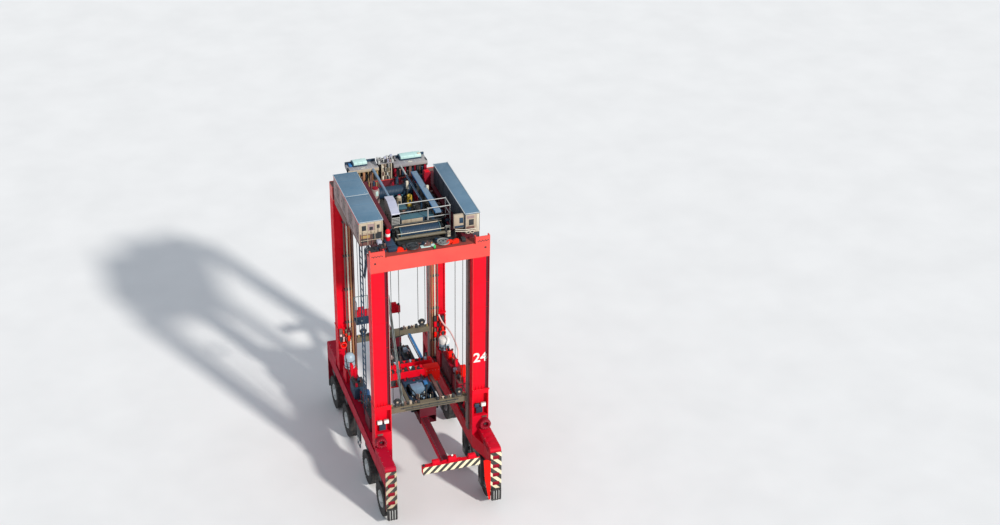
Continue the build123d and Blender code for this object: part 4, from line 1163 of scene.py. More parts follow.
def make_ropes():
    """Two falls at each corner of the hoist."""
    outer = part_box("hoist_ropes")[1].x - ROPE_RADIUS
    for end_name, end in ENDS.items():
        for side_name, side in SIDES.items():
            for index, x in enumerate((outer - 2 * SHEAVE_RADIUS, outer)):
                make_rope(f"rope_{end_name}_{side_name}_{index + 1}", side * x, end * ROPE_Y)


def make_rail_fittings():
    """Wear strips, brackets and bolts on the spreader's guide rails."""
    low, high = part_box("guide_rails")
    rails = Shape("bare_steel")
    for _ in rails.corners():
        rails.use("bare_steel")
        for y in (high.y - 0.27, high.y - 0.10):
            rails.box((RAIL_FACE + 0.002, y, low.z + 0.02), (RAIL_FACE - 0.003, y + 0.035, high.z - 0.02),
                      0.002)
        rails.use("dark")
        for z in grid(low.z + 0.3, high.z - 0.3, 9):
            rails.box((high.x, high.y - 0.2, z), (RAIL_FACE + 0.02, high.y + 0.012, z + 0.06), 0.005)
            rails.bolts([(RAIL_FACE + 0.05, high.y + 0.012, z + 0.03)], REAR)
    rails.done("rail_fittings", "frame", "dark_frame")


def make_pipes():
    """Insulated pipes with dark clamps up the rear legs, and the duct and conduit over the deck."""
    pipes = Shape("tan")
    for side in SIDES.values():
        pipes.mirrored(side)
        for index, paint in enumerate(("tan", "cream", "brown")):
            x = PIPE_X + index * PIPE_PITCH
            pipes.use(paint).rod((x, PIPE_Y, BOGIE_TOP), (x, PIPE_Y, PIPE_TOP), PIPE_RADIUS - 0.006, 20)
            for z in grid(BOGIE_TOP + 0.75, PIPE_TOP - 0.75, 8):
                pipes.rod((x, PIPE_Y, z), (x, PIPE_Y, z + 0.05), PIPE_RADIUS, 20)
        pipes.use("dark")
        for index in range(5):
            z = BOGIE_TOP + (index + 0.5) * 1.65
            pipes.box((PIPE_X - 0.065, LEG_NEAR, z), (PIPE_X + 0.305, PIPE_Y - 0.03, z + 0.08), 0.008)
            pipes.bolts([(PIPE_X + dx, PIPE_Y - 0.03, z + 0.04) for dx in (-0.055, 0.06, 0.18, 0.295)], FRONT)
    pipes.mirrored().use("slate").rod((DUCT_X, -0.03, DUCT_Z), (DUCT_X, SHELF_FRONT, DUCT_Z), 0.057, 24)
    for y in grid(0.25, 2.6, 6):
        pipes.rod((DUCT_X, y, DUCT_Z), (DUCT_X, y + 0.04, DUCT_Z), 0.06, 24)
    x, z = CONDUIT_X, DUCT_Z
    pipes.use("pale_grey").rod((x, 1.95, z), (x, SHELF_FRONT, z), 0.034, 20)
    pipes.use("navy").rod((x, -0.21, z), (x, 2.0, z), 0.04, 20)
    pipes.rod((x, -0.21, DECK_TOP), (x, -0.21, z), 0.038, 20)
    pipes.ball((x, -0.21, z), 0.04, 20)
    pipes.use("slate").box((x - 0.042, 0.0, z - 0.02), (x - 0.034, 1.95, z + 0.02), 0.002)
    pipes.done("leg_pipes", "frame", "pipe_tan", "cable_pipes")


# Housings
def make_engine_house():
    """Two housings with doors, louvres and seamed roofs, on the left girder."""
    low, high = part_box("engine_house")
    left, right = low.x + CAP_LIP, high.x - CAP_LIP
    lip, cap = CAP_LIP / 2, high.z - CAP_THICKNESS
    foot, tall, wide = GIRDER_TOP, cap - GIRDER_TOP, right - left
    house = Shape("beige")
    for front, rear, skirt in ((low.y + lip, HOUSE_SPLIT[0], 0.12), (HOUSE_SPLIT[1], high.y - lip, 0.40)):
        house.use("beige").box((left, front, foot), (right, rear, cap), 0.012)
        house.use("brown").box((left, front, foot - skirt), (-GIRDER_OUTER, rear, foot), 0.01)
        length = rear - front
        # The doors on the left wall, turned from the sun, are pink as painted shade
        doors(house, face_of((left, rear, foot), FRONT), length, tall, (0.03, 0.05), "dusty", (0, 7, 0, 7))
        doors(house, face_of((right, front, foot), REAR), length, tall, (0.05, 0.06), "beige", (0, 9, 0))
        start, stop = left - CAP_LIP, right + CAP_LIP
        # The roof's blue is a painted reflection of the sky
        house.use("roof").box((start, front - lip, cap), (stop, rear + lip, high.z - 0.012), 0.008)
        for y in grid(front, rear - 0.02, 4):
            house.box((start, y, high.z - 0.013), (stop, y + 0.02, high.z), 0.004)
        border(house.use("seam"), (start, front - lip, high.z - 0.02), (stop, rear + lip, high.z - 0.002),
               0.02, 0.022)
        house.use("galvanised")
        for x in (left + 0.12, right - 0.12):
            for y in (front + 0.15, rear - 0.15):
                house.lathe(ring(0.022, 0.038, -0.008, 0.008), (x, y, high.z - 0.042), RIGHT, 16)
    front = low.y + lip
    house.use("red").box((left - 0.02, low.y + 0.02, cap - 0.05), (left, high.y - 0.02, cap), 0.004)
    slabs(house, face_of((left, front, foot), RIGHT), 0.003, (
        ("brown", (0.02, -0.10), (wide - 0.04, 0.52), 0.006), ("beige", (0.06, 0.50), (0.26, 0.34), 0.012),
        ("dusty", (0.34, 0.52), (0.26, 0.30), 0.010), ("beige", (0.64, 0.50), (0.26, 0.34), 0.012),
        ("dark", (0.52, 0.08), (0.36, 0.34), 0.009), ("dark", (0.10, 0.56), (0.18, 0.22), 0.014),
        ("dark", (0.41, 0.56), (0.14, 0.14), 0.013), ("dark", (0.06, 0.04), (0.30, 0.14), 0.009),
        ("brass", (0.08, 0.22), (0.34, 0.12), 0.010), ("dark", (0.70, 0.60), (0.12, 0.16), 0.014)))
    house.done("engine_house_body", "frame", "beige_paint", "engine_house")

    pipes = Shape("beige")
    edge = front - 0.012
    for level, reach in ((12.02, wide), (12.30, wide * 0.8), (12.42, wide * 0.95)):
        pipes.rod((left + 0.05, edge, level), (left + reach - 0.05, edge, level), 0.012, 10)
    for paint, start, stop, shifts in (("beige", foot - 0.1, cap - 0.03, (0.33, 0.62, 0.92)),
                                       ("dark", foot - 0.11, 12.55, (0.47, 0.12, 0.75))):
        for shift in shifts:
            pipes.use(paint).rod((left + shift, edge, start), (left + shift, edge, stop), 0.012, 10)
    pipes.done("engine_house_pipes", "frame", "grey_paint")


def make_cabinet():
    """Narrow electrical cabinet with doors, a seamed roof and a windowed front."""
    low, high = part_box("electric_cabinet")
    left, right = low.x + CAP_LIP, high.x - CAP_LIP
    front, rear, cap = low.y, high.y - CAP_LIP, high.z - CAP_THICKNESS
    foot, tall, wide = GIRDER_TOP, cap - GIRDER_TOP, right - left
    cabinet = Shape("cabinet").box((left, front + 0.02, foot), (right, rear, cap), 0.012)
    cabinet.box((GIRDER_OUTER, front + 0.02, low.z), (right, rear, foot), 0.01)
    for wall in (face_of((left, rear, foot), FRONT), face_of((right, front + 0.02, foot), REAR)):
        doors(cabinet, wall, rear - front, tall, (0.03, 0.04), "cabinet", (0, 8, 0, 0, 8, 0))
    start, stop, back = left - CAP_LIP, right + CAP_LIP, rear + CAP_LIP
    # The roof's blue is a painted reflection of the sky
    cabinet.use("roof").box((start, front, cap), (stop, back, high.z - 0.012), 0.008)
    border(cabinet.use("seam"), (start, front, high.z - 0.02), (stop, back, high.z), 0.024, 0.024)
    cabinet.use("bare_steel").bolts([(x, y, high.z - 0.012) for x in (left + 0.02, right - 0.02)
                                     for y in grid(front + 0.1, rear, 16)], UP, 0.009, 0.007)
    wall = face_of((left, front + 0.02, foot), RIGHT)
    # The cream strip at the right of the front is a painted highlight of its sunlit part
    slabs(cabinet, wall, 0.004,
          (("beige", (0.01, 0.02), (wide - 0.02, tall - 0.04), 0.006),
           ("brown", (0.03, 0.10), (0.34, 0.22), 0.009),
           ("cream", (wide - 0.13, 0.04), (0.11, tall - 0.08), 0.018),
           ("dark", (0.14, 0.36), (0.20, 0.26), 0.012), ("dark", (0.05, 0.02), (0.30, 0.10), 0.012),
           ("dusty", (0.06, 0.66), (0.30, 0.12), 0.010)))
    cabinet.use("cream")
    for x in (left + 0.12, left + 0.28):
        cabinet.lathe(ring(0.055, 0.08, -0.012, 0.012), (x, front + 0.012, foot + 0.07), REAR, 20)
    cabinet.use("bare_steel").bolts([place_on(wall, (x, height), 0.008) for height in grid(0.1, tall - 0.1, 5)
                                     for x in (0.03, wide - 0.03)], FRONT, 0.009, 0.006)
    cabinet.done("electric_cabinet_body", "frame", "roof_blue", "electric_cabinet")


# Deck
def make_drum(end_name):
    """Rope drum with grooved windings, flanges and a bolted end."""
    node = f"hoist_drum_{end_name}"
    low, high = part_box(node)
    centre = (low + high) / 2
    half = high.x - DRUM_REACH
    outer = high.z - centre.z
    barrel = outer - DRUM_FLANGE
    wound = half - 0.05
    step = 2 * wound / DRUM_TURNS
    outline = [(0.12, -wound)]
    for index in range(DRUM_TURNS):
        outline += [(barrel - deep, (index + share) * step - wound)
                    for deep, share in ((0.010, 0), (0.004, 0.2), (0.002, 0.5), (0.004, 0.8))]
    outline += [(barrel - 0.010, wound), (0.12, wound)]
    drum = Shape("drum").use("navy").lathe(outline, centre, RIGHT, 40)
    flange = [(0.072, half - 0.045), (outer - 0.05, half - 0.04), (outer - 0.004, half - 0.038),
              (outer, half - 0.02), (outer - 0.004, half - 0.002), (outer - 0.06, half), (0.15, half - 0.012),
              (0.11, half), (0.072, half), (0.072, half - 0.045)]
    for side in SIDES.values():
        axis = Vector((side, 0, 0))
        drum.use("teal" if end_name == "front" else "navy").lathe(flange, centre, axis)
        shaft = (centre + axis * (half - 0.04), (side * high.x, centre.y, centre.z))
        drum.use("bare_steel").rod(*shaft, DRUM_SHAFT, 24)
        drum.bolts(circle(centre + axis * (half - 0.006), REAR, UP, 0.185, 10), axis, 0.013)
    drum.done(f"drum_{end_name}_windings", f"drum_{end_name}", "grey_paint", node)


def make_deck_units():
    """Cooler, filter, motors, gear beam, valve block and cable tray on the deck."""
    deck = DECK_TOP
    left, right, front, rear = -0.95, -0.60, -1.10, 0.0
    origin = ((left + right) / 2, front, deck)
    units = Shape("pale_grey")
    units.plate([(0, 0), (1.10, 0), (1.10, 1.05), (0.67, 1.065), (0.60, 1.045), (0.03, 0.815), (0, 0.78)],
                0.33, origin, REAR)
    # The lavender cap paints the skylight on the cooler's top
    units.use("lavender").plate(
        [(0, 0.66), (0.012, 0.66), (0.03, 0.80), (0.61, 1.03), (0.67, 1.05), (1.10, 1.04), (1.10, 1.06),
         (0.67, 1.08), (0.60, 1.06), (0.02, 0.83), (0, 0.80)], 0.346, origin, REAR)
    units.use("dark")
    for z in grid(deck + 0.06, deck + 0.58, 9):
        units.box((left + 0.02, front, z), (right - 0.02, front + 0.012, z + 0.04), 0.003)
    for y in grid(front + 0.14, rear - 0.2, 4):
        units.box((left, y, deck + 0.1), (left + 0.012, y + 0.03, deck + 0.5), 0.003)
    units.use("navy").box((left - 0.02, front + 0.05, deck), (right + 0.02, rear - 0.02, deck + 0.06), 0.01)
    centre = (FILTER_X, FILTER_Y, deck)
    units.use("dusty").lathe(
        [(0.0, 0.0), (0.15, 0.0), (0.15, 0.12), (0.168, 0.14), (0.168, 0.74), (0.155, 0.78), (0.12, 0.80),
         (0.0, 0.80)], centre, UP, 36)
    units.use("deep_red").lathe(
        [(0.0, 0.78), (0.12, 0.78), (0.13, 0.82), (0.12, 0.85), (0.05, 0.875), (0.0, 0.878)], centre, UP, 36)
    units.use("pale_box").box((FILTER_X - 0.02, FILTER_Y - 0.1695, deck + 0.52),
                              (FILTER_X + 0.09, FILTER_Y - 0.12, deck + 0.74), 0.01)
    units.use("dark")
    for lift in (0.13, 0.38):
        units.lathe([(0.160, lift), (0.1695, lift + 0.003), (0.1695, lift + 0.022), (0.160, lift + 0.025),
                     (0.160, lift)], centre, UP, 36)
    for x, paint in ((MOTOR_LEFT_X, "beige"), (MOTOR_RIGHT_X, "yellow")):
        motor = (x, MOTOR_Y, deck)
        units.use(paint).lathe(
            [(0.0, 0.0), (0.10, 0.0), (0.10, 0.10), (0.085, 0.12), (0.085, 0.42), (0.10, 0.44), (0.10, 0.48),
             (0.06, 0.52), (0.0, 0.528)], motor, UP, 32)
        for fin in circle(motor, RIGHT, REAR, 0.094, 16):
            units.rod(fin + Vector((0, 0, 0.12)), fin + Vector((0, 0, 0.42)), 0.008, 6)
        units.use("dark").box((x - 0.05, MOTOR_Y - 0.108, deck + 0.2),
                              (x + 0.05, MOTOR_Y - 0.08, deck + 0.34), 0.008)
    machine_box(units, (-0.58, -1.18, deck), (0.80, -0.72, deck + 0.56), "navy", "teal")
    units.use("beige").box((-0.56, -1.186, deck + 0.38), (0.31, -1.17, deck + 0.54), 0.006)
    units.use("dark")
    for x in (0.42, 0.62):
        units.rod((x, -1.19, deck + 0.40), (x, -1.17, deck + 0.40), 0.07, 20)
    machine_box(units, (1.16, 1.50, deck), (1.43, 1.80, deck + 1.07), "deep_red", "red")
    units.use("red").box((1.162, 1.502, deck + 0.80), (1.428, 1.798, deck + 1.04), 0.01)
    units.rod((1.295, 1.65, deck + 1.05), (1.295, 1.65, deck + 1.078), 0.10, 24)
    tray = deck + 0.73
    units.use("slate").box((0.785, -1.345, tray), (1.035, 2.245, tray + 0.078), 0.012)
    for x, paint in ((0.78, "tie"), (1.028, "navy")):
        units.use(paint).box((x, -1.35, tray + 0.01), (x + 0.012, 2.25, tray + 0.08), 0.004)
    units.use("bare_steel").bolts([(x, y, tray + 0.074) for x in (0.81, 1.01) for y in grid(-1.25, 2.15, 14)],
                                  UP, 0.010, 0.004)
    units.done("deck_machines", "frame", "grey_paint", "deck_units")


def make_deck_small():
    """Guard bars over the front drum, two of them pale rods as painted highlights of the drum, posts, an
    extinguisher and the machinery between the big units.
    """
    deck, girder = DECK_TOP, GIRDER_TOP
    small = Shape("cream").boxes(((0.34, 1.36, deck + 0.5), (0.44, 1.46, deck + 0.84), 0.015),
                                 ((1.0, 0.66, deck), (1.10, 0.76, deck + 0.9), 0.015),
                                 ((0.99, -2.06, deck), (1.20, -1.99, deck + 0.50), 0.012))
    # The thin cream rod and the beige rod are painted highlights of the drum's lit top and front
    small.rod((-1.0, -2.05, 11.95), (0.98, -2.05, 11.95), 0.014, 12)
    small.use("beige").rod((-1.0, -1.66, 12.07), (0.94, -1.66, 12.07), 0.022, 12)
    small.use("dark").rod((1.095, -2.07, deck + 0.36), (1.095, -2.06, deck + 0.36), 0.06, 20)
    small.rod((-1.1, -1.62, 12.13), (0.95, -1.62, 12.13), 0.028, 14)
    for x in (-0.9, 0.9):
        small.box((x - 0.025, -1.645, 11.96), (x + 0.025, -1.595, 12.13), 0.006)
    for x in (-1.0, 0.97):
        small.box((x - 0.03, -2.19, deck), (x + 0.03, -2.03, 11.97), 0.01)
    small.use("olive").rod((-1.1, -2.13, 11.80), (0.98, -2.13, 11.80), 0.07, 24)
    for x in grid(-0.7, 0.6, 4):
        small.rod((x, -2.13, 11.80), (x + 0.04, -2.13, 11.80), 0.078, 24)
    for left, front, right, rear, tall, count, seed in (
            (-1.22, -2.80, 0.06, -2.55, 0.26, 9, 1), (-1.22, -2.50, 0.06, -2.26, 0.2, 8, 2),
            (0.46, -2.80, 1.42, -2.55, 0.24, 7, 4), (0.46, -2.50, 1.42, -2.26, 0.2, 7, 5),
            (-1.22, -1.40, -1.0, 1.0, 0.45, 12, 6), (-0.45, 0.10, 0.45, 0.5, 0.3, 6, 7),
            (1.10, -1.3, 1.42, 1.3, 0.5, 12, 8), (-0.55, 2.02, 0.40, 2.09, 0.3, 8, 9)):
        clutter(small, (left, front, deck), (right, rear, deck + tall), "navy dark brown navy", count, seed)
    clutter(small, (-0.40, 1.18, deck), (0.30, 1.40, deck + 0.36), "deep_red teal dark", 6, 10)
    clutter(small, (0.60, 1.05, deck), (0.76, 1.95, deck + 0.5), "deep_red navy", 6, 11)
    small.use("maroon").rod((1.3, -1.9, 11.72), (1.3, 0.9, 11.72), 0.05)
    clutter(small, (-0.12, 1.84, deck + 0.2), (0.44, 1.98, deck + 0.66), "deep_red maroon dark", 6, 13)
    small.use("dark").box((-0.14, 1.86, deck), (0.46, 1.96, deck + 0.22), 0.01)
    small.box((0.36, 1.38, deck), (0.42, 1.44, deck + 0.5), 0.006)
    small.use("teal").box((-0.40, 0.10, deck + 0.30), (0.02, 0.46, deck + 0.34), 0.006)
    small.use("dark").box((-2.34, -2.83, 11.66), (-1.92, -2.50, 11.86), 0.02)
    clutter(small, (-2.34, -2.83, 11.62), (-1.92, -2.66, 11.98), "dark navy brown", 5, 14)
    small.use("navy").boxes(
        ((-1.60, -2.78, girder), (-1.25, -2.24, girder + 0.06), 0.015),
        ((-1.46, -2.82, 11.52), (-1.22, -2.30, girder + 0.02), 0.02),
        ((-1.60, -3.02, BEAM_TOP), (-1.22, -2.84, BEAM_TOP + 0.16), 0.02))
    small.use("dark").box((-1.90, -2.83, girder), (-1.62, -2.26, girder + 0.012), 0.004)
    clutter(small, (-1.90, -2.82, girder), (-1.62, -2.60, girder + 0.16), "dark brown", 4, 12)
    small.use("lavender").box((-1.90, -2.54, girder), (-1.72, -2.32, girder + 0.16), 0.02)
    bottle = (-1.44, -2.36, girder + 0.06)
    small.use("red").lathe([(0.0, 0.0), (0.082, 0.0), (0.09, 0.02), (0.09, 0.42), (0.055, 0.48),
                            (0.025, 0.50), (0.0, 0.50)], bottle, UP, 24)
    small.use("plain_white").lathe([(0.089, 0.18), (0.0915, 0.185), (0.0915, 0.30), (0.089, 0.305),
                                  (0.089, 0.18)], bottle, UP, 24)
    small.use("dark").rod((-1.44, -2.36, girder + 0.55), (-1.44, -2.36, girder + 0.61), 0.022, 12)
    small.use("beige").box((1.18, -2.58, 12.14), (1.60, -2.46, 12.74), 0.015)
    small.use("navy").box((1.40, -2.586, 12.36), (1.56, -2.57, 12.60), 0.004)
    small.box((1.20, -2.585, 12.16), (1.58, -2.57, 12.26), 0.004)
    small.use("dark")
    for x in (1.22, 1.52):
        small.box((x, -2.54, deck), (x + 0.05, -2.49, 12.14), 0.006)
    small.use("cream")
    for z in (12.02, 12.10):
        small.path([(1.24, -2.56, z), (1.62, -2.70, z), (2.06, -2.705, z)], 0.018, 8)
    small.done("deck_fittings", "frame", "grey_paint")


def make_beam_top_parts():
    """Orange-red brackets, a green lamp and small blocks along the top of the front portal beam."""
    top = BEAM_TOP
    parts = Shape("orange")
    for x, tilt in ((-1.25, 1), (0.98, -1), (1.25, -1)):
        parts.plate([(0, 0), (0.34, 0), (0.26, 0.10), (0.10, 0.16), (0, 0.12)], 0.10, (x, -3.0, top),
                    (tilt, 0, 0))
        parts.box((x - 0.04, -3.1, top), (x + tilt * 0.38, -2.88, top + 0.02), 0.004)
    parts.use("dark").box((-1.02, -3.05, top), (-0.90, -2.88, top + 0.16), 0.015)
    parts.box((1.36, -3.08, top), (1.52, -2.86, top + 0.14), 0.015)
    clutter(parts, (-1.75, -2.98, top), (-1.35, -2.86, top + 0.12), "navy brown", 4, 3)
    parts.use("pale_box").box((-0.30, -3.06, top), (0.28, -2.88, top + 0.03), 0.006)
    parts.use("brown").box((-0.16, -3.02, top + 0.03), (0.12, -2.92, top + 0.09), 0.01)
    parts.rod((-0.02, -2.97, top + 0.09), (-0.02, -2.97, top + 0.24), 0.022, 12)
    parts.use("dark").rod((0.20, -3.22, top), (0.20, -3.22, top + 0.03), 0.05, 20)
    parts.use("green_glass").lathe(
        [(0.0, 0.0), (0.042, 0.0), (0.045, 0.02), (0.045, 0.09), (0.03, 0.12), (0.0, 0.125)],
        (0.20, -3.22, top + 0.03), UP, 24)
    parts.use("bare_steel").bolts([(x, -2.88, top) for x in grid(-1.6, 1.6, 17)], UP, 0.014, 0.016)
    parts.done("front_beam_parts", "frame", "red_paint")


def make_rear_shelf():
    """Shelves with pale boxes over machinery on the rear portal beam."""
    low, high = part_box("rear_platform")
    foot, top = BEAM_TOP, high.z
    shelf = Shape("shelf")
    for side, near, face, trim, fill in (
            (-1, 0.40, "beige", "brass", "brass brown tan dark"),
            (1, 0.24, "shelf", "brown", "deep_red dark brown navy")):
        inner, outer = side * near, side * 1.70
        shelf.use("shelf").box((inner, low.y + 0.012, top - 0.15), (outer, high.y, top), 0.012)
        shelf.use("seam")
        for x in grid(inner + side * 0.06, outer - side * 0.06, 7):
            shelf.box((x - 0.006, low.y + 0.02, top - 0.002), (x + 0.006, high.y - 0.02, top + 0.004))
        shelf.use(face).box((inner, low.y, top - 0.14), (outer, low.y + 0.03, top - 0.02), 0.006)
        shelf.use(trim).box((inner, low.y + 0.002, top - 0.15), (outer, low.y + 0.03, top - 0.10), 0.004)
        shelf.use("deep_red")
        for x in (inner, outer - side * 0.12):
            shelf.box((x, 3.04, foot), (x + side * 0.12, 3.16, top - 0.15), 0.01)
        start, stop = sorted((inner + side * 0.02, outer - side * 0.06))
        shelf.use("dark").box((start, 3.09, foot), (stop, 3.11, top - 0.15), 0.003)
        names = fill.split()
        clutter(shelf, (start, 2.92, foot), (stop, 3.03, top - 0.15), fill, 13, 21)
        clutter(shelf, (start, 2.63, foot - 0.25), (stop, 2.83, foot + 0.12), " ".join(["navy"] + names[:2]),
                12, 23)
        clutter(shelf, (start, 3.17, foot), (stop, 3.34, top - 0.15), " ".join(names[::-1]), 9, 22)
        shelf.use("dark").box((outer, low.y + 0.02, top - 0.22),
                              (outer - side * 0.07, low.y + 0.30, top + 0.01), 0.01)
        middle = (inner + outer) / 2
        shelf.use("cream").box((middle - 0.09, 2.97, top), (middle + 0.09, 3.02, top + 0.012), 0.004)
    for start, stop in ((-1.39, -0.81), (0.62, 1.52)):
        shelf.use("pale_box").box((start, 3.23, top), (stop, 3.56, top + 0.168), 0.025, 3)
        for x in grid(start, stop, 4)[1:-1]:
            shelf.box((x - 0.01, 3.22, top + 0.02), (x + 0.01, 3.57, top + 0.17), 0.004)
        shelf.use("navy").box((start - 0.05, 3.20, top), (start, 3.56, top + 0.15), 0.01)
        shelf.box((start, 3.18, top), (stop, 3.23, top + 0.05), 0.01)
    for start, stop in ((-1.70, -0.40), (0.26, 1.70)):
        shelf.box((start, 3.56, top - 0.1), (stop, high.y - 0.005, top + 0.10), 0.01)
    shelf.use("cream").box((1.36, 3.24, top + 0.02), (1.50, 3.40, top + 0.19), 0.02)
    shelf.use("tie").box((-1.58, 3.23, top), (-1.45, 3.44, top + 0.08), 0.015)
    shelf.done("rear_shelf", "frame", "grey_paint", "rear_platform")


def make_service_tower():
    """The tall service tower between the shelves."""
    foot, neck = BEAM_TOP, 12.50
    tower = Shape("beige").box((-0.25, 2.93, foot), (0.10, 3.14, neck), 0.015)
    for x, y in ((-0.28, 2.9), (0.13, 2.9), (-0.28, 3.18), (0.13, 3.18)):
        tower.box((x - 0.02, y - 0.02, foot), (x + 0.02, y + 0.02, neck), 0.004)
    tower.use("dark").box((-0.42, 3.08, foot), (-0.24, 3.12, neck), 0.004)
    tower.box((0.09, 3.08, foot), (0.26, 3.12, neck), 0.004)
    for index in range(4):
        z = foot + 0.18 * index
        clutter(tower, (-0.27, 2.85, z), (0.12, 2.92, z + 0.22), "cream brown beige dark pale_grey olive", 6,
                81 + index, index % 3)
    tower.use("shelf").box((-0.43, 2.88, neck), (0.34, 3.26, neck + 0.03), 0.006)
    for index, y in enumerate((2.88, 3.0, 3.12)):
        clutter(tower, (-0.43, y, neck + 0.02), (0.34, y + 0.12, neck + 0.24),
                "pale_grey shelf pale_grey dark lavender dusty", 8, 91 + index, index)
    tower.use("dark").rod((-0.41, 2.895, neck + 0.22), (-0.10, 2.895, neck + 0.02), 0.014, 8)
    tower.rod((0.18, 2.895, neck + 0.24), (0.34, 2.895, neck + 0.05), 0.014, 8)
    tower.done("service_tower", "frame", "beige_paint")


def make_ladder_fittings():
    """Landing with a guard rail, clips, a cable tangle at the top and treads on the boarding ladder."""
    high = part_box("access_ladder")[1]
    x, front, rear, landing = LADDER_X, LADDER_FRONT + LADDER_WIDTH, high.y - 0.02, LANDING
    ladder = Shape("arm")
    for z in grid(BOGIE_TOP + 0.6, high.z - 0.4, 7):
        for y in (LADDER_FRONT, front):
            ladder.box((x - 0.03, y - 0.03, z), (x + 0.03, y + 0.03, z + 0.05), 0.004)
    for y in (front + 0.04, rear):
        ladder.rod((-2.38, y, landing - 0.03), (-2.38, y, landing + 1.0), 0.018, 10)
    ladder.path([(-2.38, front + 0.04, landing + 1.0), (-2.38, rear, landing + 1.0),
                 (-1.80, rear, landing + 1.0), (-1.80, rear, landing)], 0.018, 8)
    ladder.use("dark").box((-2.40, front + 0.02, landing - 0.012), (-1.76, rear, landing - 0.002), 0.002)
    ladder.box((-2.44, -0.72, 1.34), (-2.38, -0.12, 1.98), 0.02)
    ladder.use("plain_white").box((-2.47, -0.72, 1.22), (-2.36, -0.14, 1.27), 0.01)
    ladder.use("navy")
    for shift, z in ((0.0, 10.9), (0.07, 11.0), (0.14, 10.7), (0.21, 10.95)):
        ladder.path([(-1.98, -1.5 + shift, 11.3), (-2.08, -1.35 + shift, z), (-2.02, -1.2 + shift, z - 0.5),
                     (-2.10, -1.1 + shift, 9.6)], 0.022, 8)
    ladder.done("ladder_fittings", "frame", "galvanised")


# Units on the bogie beams
def make_tank(shape, side, foot, crown):
    """An upright tank on a cradle, with straps and a level glass."""
    shape.mirrored(side).use("sky")
    centre = (TANK_X, TANK_Y, foot)
    shape.lathe([(0.0, 0.0), (0.20, 0.0), (0.228, 0.03), (0.228, 0.5)] + crown, centre, UP, 40)
    shape.use("dark")
    for lift in (0.12, 0.36):
        shape.lathe(ring(0.226, 0.232, lift, lift + 0.03), centre, UP, 40)
    shape.box((TANK_X - 0.015, TANK_Y - 0.245, foot + 0.06), (TANK_X + 0.015, TANK_Y - 0.228, foot + 0.42),
              0.003)
    shape.use("red").box((1.85, 1.80, BOGIE_TOP), (2.38, 2.34, foot), 0.02)
    shape.use("deep_red")
    for x in (1.88, 2.30):
        shape.box((x, 1.79, BOGIE_TOP + 0.05), (x + 0.05, 1.80, foot - 0.05), 0.004)
    shape.mirrored()


def make_ring_drives():
    """Ring-shaped housings on the feet of the legs, with bolts, a dark boss and two clamp blocks."""
    rings = Shape("red")
    for side in SIDES.values():
        for place, radius, bore, paint in (
                ((2.46 - NOSE_WIDTH / 2, -LEG_FAR, NOSE_TOP + 0.26), 0.24, 0.12, "deep_red"),
                ((2.24, LEG_NEAR, 3.9 if side > 0 else 4.1), 0.15, 0.085, "signal")):
            centre = Vector(place) * Vector((side, 1, 1))
            rings.use(paint).lathe(
                [(bore + 0.02, 0.0), (radius - 0.015, 0.0), (radius - 0.015, 0.12), (radius - 0.002, 0.14),
                 (radius - 0.002, 0.235), (radius - 0.02, 0.262), (bore + 0.035, 0.268), (bore + 0.002, 0.25),
                 (bore + 0.002, 0.10), (0.0, 0.095)], centre, FRONT)
            face = centre - Vector((0, 0.266, 0))
            rings.use("bare_steel").bolts(circle(face, RIGHT, UP, (radius + bore) / 2 + 0.012, 12), FRONT,
                                          0.012, 0.003)
            rings.use("dark").rod(centre - Vector((0, 0.09, 0)), centre - Vector((0, 0.17, 0)), bore * 0.45,
                                  20)
            for lift, block in ((-1.25, "orange"), (1.2, "brown")):
                spot = centre + Vector((0, -0.03, lift * radius))
                rings.use(block).box(spot - Vector((0.10, 0.03, 0.03)), spot + Vector((0.12, 0.03, 0.03)),
                                     0.01)
    rings.done("ring_drives", "frame", "red_paint", "bogie_units")


